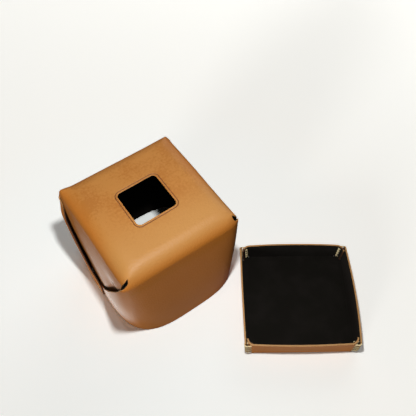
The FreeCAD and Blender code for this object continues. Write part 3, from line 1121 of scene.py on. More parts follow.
    def panel(self, side: Side) -> list[Patch]:
        """Front or back panel below the front relief holes' inner tips, with both wings.

        Args:
            side: FRONT or BACK.

        Returns:
            The patches of the bend, the wall and the two wings.
        """
        patches = [self.panel_bend(side), self.panel_wall(side)]
        patches += [self.wing(side, turn) for turn in (-1.0, 1.0)]
        for patch in patches if side is Side.FRONT else []:
            patch.points = self.sprung(patch.points)
        return patches

    def sprung(self, points: np.ndarray) -> np.ndarray:
        """Let the front left wing spring out, by smooth steps across its corner and up and down.

        Args:
            points: Points of the front panel.

        Returns:
            The moved points.
        """
        x, y, z = points[..., 0], points[..., 1], points[..., 2]
        share = (step(x, *self.spring_across) * step(z, *self.spring_top) * step(z, *self.spring_foot)
                 * step(y, *self.spring_back))
        return points - self.spring * share[..., None] * np.array([1.0, 0.0, 0.0])

    def wing(self, side: Side, turn: float) -> Patch:
        """One wing, from its top corner round to its end.

        The top edge falls in a straight line to the tab, and rows share out the height below it.

        Args:
            side: The panel that it belongs to.
            turn: 1 for the wing at the anticlockwise end of the panel, -1 for the other.

        Returns:
            The patch.
        """
        end = -self.front_wing_end if side is Side.FRONT else self.back_wing_end
        meet = -self.back_wing_end if side is Side.FRONT else self.back_wing_end
        share = np.linspace(0.0, 1.0, self.wing_columns)[None, :] ** self.wing_column_growth
        if turn < 0.0:
            share = share[:, ::-1]
        place = self.wing_start + (end - self.wing_start) * share
        slope = (self.wing_corner_height - self.tab_height) / (self.wing_start - meet)
        top = np.maximum(self.wing_corner_height - slope * (self.wing_start - place), self.tab_height)
        height = top * np.linspace(1.0, 0.0, self.wall_rows)[:, None]
        lap = (ease((self.lap_start[side] - place) / self.lap_ease)
               * ease((self.lap_top - height) / self.lap_ease))
        across_half = self.wing_half_width(side, height)
        across_half = across_half + (self.lap_face[side] - across_half) * lap
        polar = turn * np.arctan2(across_half, place)
        squareness = self.wall_squareness(side, height, self.corner_squareness(side, place), turn)
        squareness = squareness + (self.flap_squareness - squareness) * lap
        reach = ring_reach(polar, self.wall_half_depth(height), across_half, squareness)
        patch = plain_patch(self.placed(side, polar, reach, height))
        # painted shade: a back wing's cut edge is painted dark, and its face made rough, away from its top
        # corner
        if side is Side.BACK:
            edge_shaded = ease((self.wing_start - place) / self.edge_shade_length)
            patch.edge_shade = np.broadcast_to(edge_shaded, height.shape)
        return patch

    def flap_front(self, side: Side) -> np.ndarray:
        """Whether each column of a flap is in its front half."""
        return self.columns < 0.0 if side is Side.RIGHT else self.columns > 0.0

    def flap_bend(self, side: Side) -> Patch:
        """Bend of a side flap, from the front relief hole's inner tip down.

        Args:
            side: RIGHT or LEFT.

        Returns:
            The patch.
        """
        angle = self.bend_angles()
        out_half, across_half, height = self.bend_ring(side, angle)
        columns = self.columns
        ends = ((self.flap_top_front[side], self.front_relief_angle),
                (self.flap_top_back, self.back_relief_angle))
        borders = [self.hole_border(side, angle, math.atan2(half, self.top_half_width), relief_angle,
                                    self.relief_flap_cut) for half, relief_angle in ends]
        polar = columns * np.where(self.flap_front(side), borders[0], borders[1])
        squareness = self.bend_squareness(angle, side, columns, self.flap_squareness)
        reach = ring_reach(polar, out_half, across_half, squareness)
        return plain_patch(self.placed(side, polar, reach, height))

    def flap_wall(self, side: Side) -> Patch:
        """Wall of a side flap.

        It narrows evenly to its foot, bellies out by a parabola, is dented by a bell curve, and goes in
        at its foot by a smooth step.

        Args:
            side: RIGHT or LEFT.

        Returns:
            The patch.
        """
        front = self.flap_front(side)
        fall = np.linspace(0.0, 1.0, self.wall_rows)[:, None]
        height = self.shoulder + (self.flap_foot_clearance - self.shoulder) * fall
        top = np.where(front, self.flap_top_front[side], self.flap_top_back)
        foot = np.where(front, self.flap_foot_front, self.flap_foot_back)
        straight = 1.0 - np.minimum(fall / self.flap_lean_share, 1.0)
        lean = self.top_half_width + self.flap_lean * (1.0 - straight ** 2)
        place = self.columns * (top + (foot - top) * fall)
        away = ((np.where(front, -1.0, 1.0) * np.abs(place) - self.dent_place) ** 2
                + (height - self.dent_height) ** 2) / self.dent_size ** 2
        tuck = self.flap_tuck * ease((self.flap_tuck_height - height) / self.flap_tuck_height)
        out_half = lean - self.dent_depth * np.exp(-away) - tuck
        squareness = np.full_like(height, self.flap_squareness)
        polar = np.arctan2(place, lean)
        reach = ring_reach(polar, out_half, self.panel_half_depth(height), squareness)
        return plain_patch(self.placed(side, polar, reach, height))

    def eared(self, points: np.ndarray) -> np.ndarray:
        """Let the back left corner of the top stand out by a bell curve, where the hide is pinched.

        Args:
            points: Points in millimetres.

        Returns:
            The moved points.
        """
        out, back, height = self.bend_ring(Side.LEFT, math.radians(self.ear_angle))
        middle = np.array([-out, back, height])
        away = np.linalg.norm(points - middle, axis=-1, keepdims=True) / self.ear_size
        return points + self.ear * np.exp(-away ** 2) * np.array(self.ear_towards)

    def surface(self) -> bpy.types.Mesh:
        """Outer surface of the whole folded hide.

        Returns:
            The mesh, in metres.
        """
        patches: list[Patch] = []
        for side in Side:
            patches += [self.flat_top(side), self.shared_bend(side)]
            if side in (Side.FRONT, Side.BACK):
                patches += self.panel(side)
            else:
                patches += [self.flap_bend(side), self.flap_wall(side)]
        for patch in patches:
            patch.points = self.settled(self.eared(uneven(patch.points, self.unevenness)))
        return welded_mesh("cover_leather", patches)

    def settled(self, points: np.ndarray) -> np.ndarray:
        """Draw the back of the top forwards, as the folded hide settles.

        The move grows by smooth steps with the height and with the distance behind the middle.

        Args:
            points: Points in millimetres.

        Returns:
            The moved points.
        """
        back = step(points[..., 1], *self.settle_back)
        share = back * step(points[..., 2], *self.settle_height)
        return points + self.back_settle * share[..., None] * np.array(self.settle_towards)

    def build(self, grain: bpy.types.Material, cut: bpy.types.Material,
              suede: bpy.types.Material) -> list[bpy.types.Object]:
        """Build hide and lining and set them on the frame.

        Args:
            grain: Material of the hide's faces.
            cut: Material of its cut edges.
            suede: Material of the lining.

        Returns:
            The two pieces.
        """
        outer = self.surface()
        inner = sunk_copy(outer, "cover_suede", self.leather, self.lining_trim)
        hide = sheet_object(outer, self.leather, self.hide_round, grain, cut)
        lining = sheet_object(inner, self.suede, self.lining_round, suede, suede)
        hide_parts("cover_hide")
        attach(hide, "cover")
        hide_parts("cover_lining")
        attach(lining, "cover")
        return [hide, lining]


# ---- tray ----
@dataclass
class Tray:
    """The folded tray: hide and lining. Sizes are in millimetres, in the tray's own axes until placed."""

    leather: float = 1.8
    suede: float = 0.7
    half_width: float = 61.45
    half_depth: float = 59.7
    height: float = 25.4
    fold_radius: float = 3.0
    curl_radius: float = 7.2
    curl_length: float = 7.5
    curl_clearance: float = 0.3
    bow_left: float = 0.6                # how far the walls' rims stand out at mid length
    bow_right: float = 2.7
    bow_back: float = 3.0
    bow_front: float = 1.6
    front_step: float = 0.1              # the front wall stands out this much from rim to foot
    back_corner_pull: float = 0.9        # the back wall's ends are drawn in
    left_foot_tuck: float = 2.0          # the left wall leans out over its foot
    wall_clearance: float = 0.4          # beyond the folds, from the walls' lower edges to the table
    side_wall_setback: float = 1.6
    centre: tuple[float, float] = (101.6, -131.3)
    turn: float = -34.7
    unevenness: float = 0.5
    spread_over: float = 0.9             # a wall's moves fade to the middle over this share of the way
    foot_ease: float = 2.5               # the walls' lower edges reach the table over this length
    corner_power: float = 0.42           # of the floor's corners, which bulge beyond a quarter circle
    hide_round: float = 0.35             # rounding of the cut edges
    lining_round: float = 0.15
    edge_shade_from: float = 14.0            # painted shade on the back curls' cut edges, from the ends of the side walls
    edge_shade_to: float = 2.0
    edge_shade_ease: float = 3.0
    edge_shade_inset: float = 2.2            # and clear of the side walls' faces
    straight_steps: int = 60
    wall_rows: int = 14
    fold_rows: int = 7
    curl_steps: int = 15
    tail_steps: int = 4
    run_on_steps: int = 6
    floor_steps: tuple[int, int] = (6, 5)    # from the straight folds' ends to the edges, each way
    corner_rows: int = 7
    corner_steps: int = 12

    @property
    def curl_centre(self) -> tuple[float, float]:
        """Centre of the front right curl, as distances from the tray's middle."""
        inner = self.half_width - self.leather - self.suede - self.curl_clearance
        return inner - self.curl_radius, self.half_depth - self.curl_radius

    def placed(self, points: np.ndarray) -> np.ndarray:
        """Turn and move points from the tray's own axes to where it stands.

        Args:
            points: Points in the tray's own axes.

        Returns:
            The moved points.
        """
        angle = math.radians(self.turn)
        x = points[..., 0] * math.cos(angle) - points[..., 1] * math.sin(angle) + self.centre[0]
        y = points[..., 0] * math.sin(angle) + points[..., 1] * math.cos(angle) + self.centre[1]
        return np.stack([x, y, points[..., 2]], axis=-1)

    def relaxed(self, points: np.ndarray) -> np.ndarray:
        """Let the walls bow and lean, as hide does between its laced corners.

        Each wall's rim moves out by its bow times one minus the square of the place along it, in
        proportion to the height. The left wall's foot is tucked in, and smooth steps carry each move
        from its own wall to nothing at the middle of the tray.

        Args:
            points: Points in the tray's own axes.

        Returns:
            The moved points.
        """
        along_x = points[..., 0] / self.half_width
        along_y = points[..., 1] / self.half_depth
        high = np.clip(points[..., 2] / self.height, 0.0, 1.0)
        arch_x, arch_y = 1.0 - along_x ** 2, 1.0 - along_y ** 2
        right, left = ease(along_x / self.spread_over), ease(-along_x / self.spread_over)
        back, front = ease(along_y / self.spread_over), ease(-along_y / self.spread_over)
        move_x = (right * self.bow_right * arch_y * high
                  + left * (self.left_foot_tuck * (1.0 - high) - self.bow_left * arch_y * high))
        move_y = (back * (self.bow_back * arch_x - self.back_corner_pull) * high
                  - front * arch_x * (self.front_step + self.bow_front * high))
        return points + np.stack([move_x, move_y, np.zeros_like(move_x)], axis=-1)

    def wall_bounce_heights(self, beyond: np.ndarray) -> np.ndarray:
        """Heights of a wall's points, from its rim down to its fold.

        Past the fold's end a smooth step takes the lower edge down close to the table.

        Args:
            beyond: How far past the fold's end each column is, in millimetres.

        Returns:
            Heights, one row for each row of the wall.
        """
        low = self.fold_radius + (self.wall_clearance - self.fold_radius) * ease(beyond / self.foot_ease)
        fall = np.linspace(0.0, 1.0, self.wall_rows)[:, None]
        return self.height + (low[None, :] - self.height) * fall

    def curled_wall(self) -> list[np.ndarray]:
        """Front wall with both curled ends, and its fold.

        In plan the wall is straight, then a quarter circle inwards, then straight again. Its fold is a
        quarter circle from the wall down to the floor.

        Returns:
            Grids of the wall and the fold.
        """
        straight, centre_y = self.curl_centre
        quarter = self.curl_radius * math.pi / 2.0
        middle = np.linspace(-straight, straight, self.straight_steps)
        bend = straight + np.linspace(0.0, quarter, self.curl_steps)[1:]
        tail_length = self.curl_length - self.curl_radius
        tail = straight + quarter + np.linspace(0.0, tail_length, self.tail_steps)[1:]
        right = np.concatenate([bend, tail])
        along = np.concatenate([-right[::-1], middle, right])
        swing = np.clip((np.abs(along) - straight) / self.curl_radius, 0.0, math.pi / 2.0)
        beyond = np.maximum(np.abs(along) - straight - quarter, 0.0)
        x = np.sign(along) * (np.minimum(np.abs(along), straight) + self.curl_radius * np.sin(swing))
        y = -centre_y - self.curl_radius * np.cos(swing) + beyond
        height = self.wall_bounce_heights(np.abs(along) - straight)
        inwards, up = self.fold()
        return [grid(x[None, :], y[None, :], height),
                grid(middle[None, :], -self.half_depth + inwards, up)]

    def fold(self) -> tuple[np.ndarray, np.ndarray]:
        """How far in and up each row of a fold lies, by a quarter circle from the wall to the floor."""
        angle = np.linspace(0.0, math.pi / 2.0, self.fold_rows)[:, None]
        return self.fold_radius * (1.0 - np.cos(angle)), self.fold_radius * (1.0 - np.sin(angle))

    def side_wall(self) -> list[np.ndarray]:
        """Right wall and its fold. The wall's ends run on past the fold.

        Returns:
            Grids of the wall and the fold.
        """
        _, straight = self.curl_centre
        end = self.half_depth - self.side_wall_setback
        middle = np.linspace(-straight, straight, self.straight_steps)
        run_on = np.linspace(straight, end, self.run_on_steps)[1:]
        along = np.concatenate([-run_on[::-1], middle, run_on])
        height = self.wall_bounce_heights(np.abs(along) - straight)
        inwards, up = self.fold()
        return [grid(self.half_width, along[None, :], height),
                grid(self.half_width - inwards, middle[None, :], up)]

    def floor(self) -> list[np.ndarray]:
        """Floor: a grid that runs out to all four folds, and its four round corners.

        Returns:
            The grids.
        """
        straight_x, straight_y = self.curl_centre
        edge_x = self.half_width - self.fold_radius
        edge_y = self.half_depth - self.fold_radius
        x = np.linspace(-straight_x, straight_x, self.straight_steps)
        y = np.linspace(-straight_y, straight_y, self.straight_steps)
        rim_x = np.linspace(straight_x, edge_x, self.floor_steps[0])
        rim_y = np.linspace(straight_y, edge_y, self.floor_steps[1])
        spans = [(x, y), (x, rim_y), (x, -rim_y[::-1]), (rim_x, y), (-rim_x[::-1], y)]
        grids = [grid(across[None, :], up[:, None], 0.0) for across, up in spans]
        reach = np.linspace(1.0, 0.0, self.corner_rows)[:, None]
        for turn_x, turn_y in ((1, -1), (1, 1), (-1, 1), (-1, -1)):
            sweep = np.linspace(0.0, math.pi / 2.0, self.corner_steps)[None, :]
            if turn_x != -turn_y:
                sweep = sweep[:, ::-1]
            out_x = (edge_x - straight_x) * np.sin(sweep) ** self.corner_power
            out_y = (edge_y - straight_y) * np.cos(sweep) ** self.corner_power
            grids.append(grid(turn_x * (straight_x + reach * out_x),
                              turn_y * (straight_y + reach * out_y), 0.0))
        return grids

    def surface(self) -> bpy.types.Mesh:
        """Outer surface of the whole folded tray.

        Returns:
            The mesh, in metres.
        """
        grids = self.floor()
        for wall in self.curled_wall() + self.side_wall():
            grids += [wall, wall * np.array([-1.0, -1.0, 1.0])]
        patches = [plain_patch(self.placed(self.relaxed(uneven(points, self.unevenness))))
                   for points in grids]
        # painted shade on the cut edges of the back curls
        for patch in patches:
            patch.edge_shade = self.edge_shaded(patch.points)
        return welded_mesh("tray_leather", patches)

    def edge_shaded(self, points: np.ndarray) -> np.ndarray:
        """How dark the cut edge is painted for shade: by smooth steps towards the ends of the back wall's
        curls.

        Args:
            points: Points where the tray stands.

        Returns:
            A share for each point.
        """
        angle = math.radians(self.turn)
        x, y = points[..., 0] - self.centre[0], points[..., 1] - self.centre[1]
        across = x * math.cos(angle) + y * math.sin(angle)
        along = y * math.cos(angle) - x * math.sin(angle)
        before = ease((self.half_depth - self.edge_shade_to - along) / self.edge_shade_ease)
        behind = ease((along - self.half_depth + self.edge_shade_from) / self.edge_shade_ease)
        return before * behind * (np.abs(across) < self.half_width - self.edge_shade_inset)

    def build(self, grain: bpy.types.Material, cut: bpy.types.Material,
              suede: bpy.types.Material) -> list[bpy.types.Object]:
        """Build hide and lining and set them on the frame.

        Args:
            grain: Material of the hide's faces.
            cut: Material of its cut edges.
            suede: Material of the lining.

        Returns:
            The two pieces.
        """
        outer = self.surface()
        inner = sunk_copy(outer, "tray_suede", self.leather, None)
        hide = sheet_object(outer, self.leather, self.hide_round, grain, cut)
        lining = sheet_object(inner, self.suede, self.lining_round, suede, suede)
        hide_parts("tray_hide")
        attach(hide, "tray")
        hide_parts("tray_lining")
        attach(lining, "tray")
        return [hide, lining]


# ---- thread ----
@dataclass
class TwistedThread:
    """Round three-ply thread along a path. Sizes are in millimetres."""

    diameter: float
    plies: int = 3
    ply_depth: float = 0.13
    lay_length: float = 3.2              # one full turn of the twist
    corner_ease: float = 0.9             # how far from each corner its curve starts
    corner_share: float = 0.48           # or this share of the run, where that is shorter
    corner_steps: int = 7
    step: float = 0.28
    ring_points: int = 18

    def smoothed(self, points: np.ndarray) -> np.ndarray:
        """Path with rounded corners and even steps.

        Each corner P becomes the curve (1-t)^2 A + 2t(1-t) P + t^2 B, where A and B lie a little way along
        the two runs that meet there.

        Args:
            points: Corners of the path.

        Returns:
            Points along the smooth path.
        """
        before, corner, after = points[:-2], points[1:-1], points[2:]
        back, on = before - corner, after - corner
        back_length = np.linalg.norm(back, axis=1, keepdims=True)
        on_length = np.linalg.norm(on, axis=1, keepdims=True)
        first = corner + back * np.minimum(self.corner_ease / back_length, self.corner_share)
        last = corner + on * np.minimum(self.corner_ease / on_length, self.corner_share)
        share = np.linspace(0.0, 1.0, self.corner_steps)[None, :, None]
        curves = ((1.0 - share) ** 2 * first[:, None] + 2.0 * share * (1.0 - share) * corner[:, None]
                  + share ** 2 * last[:, None])
        path = np.concatenate([points[:1], curves.reshape(-1, 3), points[-1:]])
        lengths = np.linalg.norm(np.diff(path, axis=0), axis=1)
        travelled = np.concatenate([[0.0], np.cumsum(lengths)])
        even = np.linspace(0.0, travelled[-1], int(travelled[-1] / self.step))
        return np.stack([np.interp(even, travelled, path[:, axis]) for axis in range(3)], axis=-1)

    def surface(self, corners: np.ndarray, reference: Sequence[float]) -> np.ndarray:
        """Skin of the thread.

        Rings stand square to the path. Their radius falls between the plies as a cosine of the angle round
        the thread, which turns with the distance along it, and closes to a point at both ends.

        Args:
            corners: Corners of the path.
            reference: Direction that the path never runs along.

        Returns:
            Grid of points, one row for each ring.
        """
        path = self.smoothed(corners)
        tangent = np.gradient(path, axis=0)
        tangent /= np.linalg.norm(tangent, axis=1, keepdims=True)
        side = np.cross(np.array(reference, float), tangent)
        side /= np.linalg.norm(side, axis=1, keepdims=True)
        up = np.cross(tangent, side)
        around = np.linspace(0.0, 2.0 * math.pi, self.ring_points + 1)[None, :]
        distance = (np.arange(len(path)) * self.step)[:, None]
        twist = around - 2.0 * math.pi * distance / self.lay_length
        radius = 0.5 * self.diameter * (1.0 - self.ply_depth * (1.0 - np.cos(self.plies * twist)))
        ends = np.minimum(distance, distance[::-1]) / (0.5 * self.diameter)
        radius = radius * np.sqrt(1.0 - np.clip(1.0 - ends, 0.0, 1.0) ** 2)
        ring = np.cos(around)[..., None] * side[:, None] + np.sin(around)[..., None] * up[:, None]
        return path[:, None] + radius[..., None] * ring

    def piece(self, name: str, corners: np.ndarray, reference: Sequence[float],
              material: bpy.types.Material) -> bpy.types.Object:
        """Build the thread as a piece.

        Args:
            name: Name of the piece.
            corners: Corners of the path.
            reference: Direction that the path never runs along.
            material: The thread's material.

        Returns:
            The new piece.
        """
        mesh = welded_mesh(name, [plain_patch(self.surface(corners, reference))])
        mesh.materials.append(material)
        shape = bmesh.new()
        shape.from_mesh(mesh)
        bmesh.ops.recalc_face_normals(shape, faces=shape.faces)
        shape.to_mesh(mesh)
        shape.free()
        return add_object(name, mesh)


@dataclass
class Lacing:
    """Whip stitches in the tray's four corners. Sizes are in millimetres."""

    tray: Tray
    thread: float = 1.7
    pull: float = 0.75                   # pulled this far into the leather outside
    slack: float = 0.15                  # and standing this clear of it inside
    stitches: int = 4
    pitch: float = 5.4
    top_drop: float = 3.6
    wall_angle: float = 27.0
    side_setback: float = 2.4
    side_sink: float = 0.2               # and further into the side wall's face
    corner_ease: float = 1.0

    def corners(self) -> np.ndarray:
        """Corners of the front right thread's path, from the top stitch down.

        Each stitch comes out through the curled wall, lies round the end of the side wall and goes in
        through it, and inside it falls to the next stitch.

        Returns:
            The corners, in the tray's own axes.
        """
        tray = self.tray
        centre_x, centre_y = tray.curl_centre
        skin = tray.leather + tray.suede
        outer = 0.5 * self.thread - self.pull
        inner = 0.5 * self.thread + self.slack
        angle = math.radians(self.wall_angle)
        radial = np.array([math.sin(angle), -math.cos(angle)])
        centre = np.array([centre_x, -centre_y])
        side_end = tray.half_depth - tray.side_wall_setback
        side_hole = -side_end + self.side_setback
        hollow = tray.curl_radius - skin
        outside_x = tray.half_width + outer - self.side_sink
        inside_x = centre_x + math.sqrt(hollow ** 2 - (side_hole + centre_y) ** 2)
        turn = np.array([
            centre + radial * (hollow - inner),
            centre + radial * (tray.curl_radius + outer),
            (tray.half_width - skin, -tray.half_depth - outer),
            (outside_x, -side_end - self.corner_ease),
            (outside_x, side_hole),
            (inside_x - inner, side_hole),
        ])
        heights = tray.height - self.top_drop - self.pitch * np.arange(self.stitches)
        level = np.concatenate([np.repeat(turn[None], self.stitches, axis=0),
                                np.repeat(heights[:, None, None], len(turn), axis=1)], axis=-1)
        return level.reshape(-1, 3)

    def build(self, material: bpy.types.Material) -> list[bpy.types.Object]:
        """Build the four threads and set them on the frame.

        Args:
            material: The thread's material.

        Returns:
            The four pieces.
        """
        pieces = []
        thread = TwistedThread(self.thread)
        for across, across_name in ((1.0, "right"), (-1.0, "left")):
            for along, along_name in ((1.0, "front"), (-1.0, "back")):
                corners = self.tray.relaxed(self.corners() * np.array([across, along, 1.0]))
                name = f"lacing_{along_name}_{across_name}"
                piece = thread.piece(name, self.tray.placed(corners), (0.0, 0.0, 1.0), material)
                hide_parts(f"tray_lacing_{along_name}_{across_name}")
                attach(piece, "tray")
                pieces.append(piece)
        return pieces


@dataclass
class SideSeam:
    """Running stitches through the lap on each side of the cover. Sizes are in millimetres."""

    thread: float = 0.9
    place: float = 8.0
    first_hole: float = 4.0
    pitch: float = 4.4
    holes: int = 4
    outside: float = 72.5
    inside: float = 66.2

    def corners(self) -> np.ndarray:
        """Corners of the right side's path: out and in through one hole after another.

        Returns:
            The corners.
        """
        heights = self.first_hole + self.pitch * np.arange(self.holes)
        flip = np.arange(self.holes) % 2 == 0
        first = np.where(flip, self.inside, self.outside)
        last = np.where(flip, self.outside, self.inside)
        depth = np.stack([first, last], axis=-1).reshape(-1)
        height = np.repeat(heights, 2)
        return np.stack([depth, np.full_like(depth, self.place), height], axis=-1)

    def build(self, material: bpy.types.Material) -> list[bpy.types.Object]:
        """Build both seams and set them on the frame.

        Args:
            material: The thread's material.

        Returns:
            The two pieces.
        """
        pieces = []
        thread = TwistedThread(self.thread)
        for across, name in ((1.0, "right"), (-1.0, "left")):
            corners = self.corners() * np.array([across, 1.0, 1.0])
            piece = thread.piece(f"seam_{name}", corners, (0.0, 1.0, 0.0), material)
            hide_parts(f"cover_seam_{name}")
            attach(piece, "cover")
            pieces.append(piece)
        return pieces


# ---- studio ----
@dataclass(frozen=True)
class Lamp:
    """Round soft lamp that points straight down. Sizes are in millimetres."""

    name: str
    place: tuple[float, float, float]
    width: float
    level: float                         # on the cover's top, where 1 shows a colour as written

    def hang(self, top: float) -> None:
        """Add the lamp.

        Args:
            top: Height of the cover's top.
        """
        light = bpy.data.lights.new(self.name, "AREA")
        light.shape = "DISK"
        light.size = self.width * MM
        light.energy = self.level * (math.pi * (self.place[2] - top) * MM) ** 2
        add_object(self.name, light).location = Vector(self.place) * MM

    def table_light(self, tree: bpy.types.NodeTree, place: bpy.types.NodeSocket, top: float,
                    rest: float) -> bpy.types.NodeSocket:
        """Light on the table, added to the rest of it.

        Straight below a lamp at height h its light is full, and at a distance d from there it is
        1 / (1 + (d / h) squared) squared of that.

        Args:
            tree: Node tree of the table's material.
            place: Position in millimetres.
            top: Height of the cover's top.
            rest: The light from elsewhere.

        Returns:
            The sum.
        """
        below = (self.place[0], self.place[1], 0.0)
        away = add_node(tree, "ShaderNodeVectorMath", {"operation": "DISTANCE", 1: below}, {0: place})
        ratio = maths(tree, "DIVIDE", away.outputs["Value"], self.place[2])
        fade = maths(tree, "POWER", maths(tree, "MULTIPLY_ADD", ratio, ratio, 1.0), -2.0)
        return maths(tree, "MULTIPLY_ADD", fade, self.level * (1.0 - top / self.place[2]) ** 2, rest)


@dataclass
class Studio:
    """Pale table, soft lamps, even surroundings and the camera. Sizes are in millimetres."""

    paper: str = "#F2F1EC"
    paper_near: str = "#F1F5F3"          # cooler round the cover, where the leather throws warm light
    near_middle: tuple[float, float, float] = (-15.0, -15.0, 0.0)
    near_reach: tuple[float, float] = (110.0, 280.0)
    paper_lift: float = 1.03             # makes up for what the object keeps from the paper
    own_glow: float = 0.06               # share of the paper's brightness that shadows don't reach
    footprint: float = 72.6              # none of it under the cover, within this half width
    cloth: str = "#3A3835"               # dark cloth, which all rays but the camera's find on the table
    card: str = "#F0EEE8"                # and pale cards on it
    card_glow: float = 1.65              # how bright mirrored rays find them
    left_card: tuple[float, float, float, float] = (-128.0, -88.0, -76.0, -70.0)  # soft edges, across
    tray_card: tuple[float, float, float, float] = (112.0, 116.0, 146.0, 150.0)   # in this direction:
    tray_card_towards: tuple[float, float, float] = (-0.569, -0.822, 0.0)
    tray_card_start: tuple[float, float] = (0.0, 1.0)    # and from here on, across
    tray_card_cover: float = 0.25        # how much of the cloth it covers
    strip: tuple[float, float, float, float] = (-94.0, -88.0, -74.0, -72.0)       # before the cover
    strip_cover: float = 0.18
    room: str = "#8A8884"                # walls of the room, as mirrored rays find them
    backdrop_from: tuple[float, float, float] = (0.84, 0.46, 0.29)  # and a white backdrop there, this way
    backdrop_spread: tuple[float, float] = (50.0, 25.0)  # from its soft edge to its full part, in degrees
    surround: str = "#FFFFFF"            # dim light from all round, which only lights the rest
    surround_level: float = 0.05
    key: Lamp = Lamp("key_lamp", (-20.0, -130.0, 550.0), 34.0, 0.97)
    window_level: float = 0.35           # low soft window on the left, a little in front
    window_from: tuple[float, float, float] = (-0.91, -0.40, 0.11)
    window_spread: float = 18.0          # in degrees
    panel_place: tuple[float, float, float] = (1560.0, 980.0, 850.0)
    panel_size: tuple[float, float] = (1700.0, 1100.0)
    panel_level: float = 0.17            # lit panel on the right, behind
    cover_top: float = 138.0
    table_half: float = 4000.0
    table_drop: float = 0.2              # its face lies this far under the object
    camera_place: tuple[float, float, float] = (-125.008, -284.346, 583.360)
    camera_right: tuple[float, float, float] = (0.81515902, -0.579212, -0.00540633)
    camera_up: tuple[float, float, float] = (0.48613579, 0.679033, 0.55007834)
    lens: float = 47.59
    sensor: float = 36.0
    sight_m: float = 20.0                # how far the camera sees, in metres

    def hang_lights(self) -> None:
        """Add the key lamp, the window and the panel."""
        self.key.hang(self.cover_top)
        window = bpy.data.lights.new("low_window", "SUN")
        window.energy = math.pi * self.window_level
        window.angle = math.radians(self.window_spread)
        turn = Vector(self.window_from).to_track_quat("Z", "Y").to_euler()
        add_object("low_window", window).rotation_euler = turn
        panel = bpy.data.lights.new("lit_panel", "AREA")
        panel.shape = "RECTANGLE"
        panel.size, panel.size_y = (size * MM for size in self.panel_size)
        towards = Vector(self.panel_place) - Vector((0.0, 0.0, self.cover_top))
        panel.energy = self.panel_level * (math.pi * towards.length * MM) ** 2
        holder = add_object("lit_panel", panel)
        holder.location = Vector(self.panel_place) * MM
        holder.rotation_euler = towards.to_track_quat("Z", "Y").to_euler()

    def by_ray(self, tree: bpy.types.NodeTree, seen: bpy.types.NodeSocket, lighting: bpy.types.NodeSocket,
               mirrored: bpy.types.NodeSocket) -> bpy.types.NodeSocket:
        """Shader that depends on the ray that finds it.

        Args:
            tree: Node tree to add to.
            seen: Shader that the camera sees.
            lighting: Shader that lights the rest of the scene.
            mirrored: Shader that shows in glossy and clear surfaces.

        Returns:
            The shader.
        """
        path = add_node(tree, "ShaderNodeLightPath")
        off_film = maths(tree, "MAXIMUM", path.outputs["Is Glossy Ray"], path.outputs["Is Transmission Ray"])
        unseen = add_node(tree, "ShaderNodeMixShader", None, {0: off_film, 1: lighting, 2: mirrored})
        mix = add_node(tree, "ShaderNodeMixShader", None,
                       {0: path.outputs["Is Camera Ray"], 1: unseen.outputs[0], 2: seen})
        return mix.outputs[0]

    def put_surround(self) -> None:
        """Add the world: paper to the camera, dim light, and to mirrored rays a room with a backdrop."""
        world = bpy.data.worlds.new("studio")
        bpy.context.scene.world = world
        world.use_nodes = True
        tree = world.node_tree
        tree.nodes.clear()
        direction = add_node(tree, "ShaderNodeTexCoord")
        towards = add_node(tree, "ShaderNodeVectorMath", {"operation": "DOT_PRODUCT", 1: self.backdrop_from},
                           {0: direction.outputs["Generated"]})
        edge, full = (math.cos(math.radians(angle)) for angle in self.backdrop_spread)
        around = mix_colours(tree, ramp(tree, towards.outputs["Value"], edge, full), self.room, self.paper)
        seen = add_node(tree, "ShaderNodeBackground", {"Color": linear(self.paper), "Strength": 1.0})
        dim = add_node(tree, "ShaderNodeBackground",
                       {"Color": linear(self.surround), "Strength": self.surround_level})
        walls = add_node(tree, "ShaderNodeBackground", {"Strength": 1.0}, {"Color": around})
        surface = self.by_ray(tree, seen.outputs[0], dim.outputs[0], walls.outputs[0])
        add_node(tree, "ShaderNodeOutputWorld", None, {"Surface": surface})

    def paper_colour(self, tree: bpy.types.NodeTree, place: bpy.types.NodeSocket) -> bpy.types.NodeSocket:
        """Colour of the paper, which makes up for the lights' fall-off so that it looks evenly lit.

        Args:
            tree: Node tree to add to.
            place: Position in millimetres.

        Returns:
            The colour.
        """
        slant = Vector(self.window_from).normalized().z
        reach = Vector(self.panel_place).length
        others = (self.surround_level + self.window_level * slant
                  + self.panel_level * self.panel_place[2] / reach)
        light = self.key.table_light(tree, place, self.cover_top, others)
        away = add_node(tree, "ShaderNodeVectorMath", {"operation": "DISTANCE", 1: self.near_middle},
                        {0: place})
        far_off = ramp(tree, away.outputs["Value"], *self.near_reach)
        even = add_node(tree, "ShaderNodeVectorMath", {"operation": "SCALE"},
                        {0: mix_colours(tree, far_off, self.paper_near, self.paper),
                         "Scale": maths(tree, "DIVIDE", self.paper_lift, light)})
        return even.outputs["Vector"]

    def unshadowed(self, tree: bpy.types.NodeTree, axes: bpy.types.Node) -> bpy.types.NodeSocket:
        """Share of the paper's brightness that shadows don't reach: none under the cover.

        Args:
            tree: Node tree to add to.
            axes: Node that gives the position along each axis, in millimetres.

        Returns:
            The share.
        """
        outer = maths(tree, "MAXIMUM", maths(tree, "ABSOLUTE", axes.outputs["X"]),
                      maths(tree, "ABSOLUTE", axes.outputs["Y"]))
        return maths(tree, "MULTIPLY", maths(tree, "GREATER_THAN", outer, self.footprint), self.own_glow)

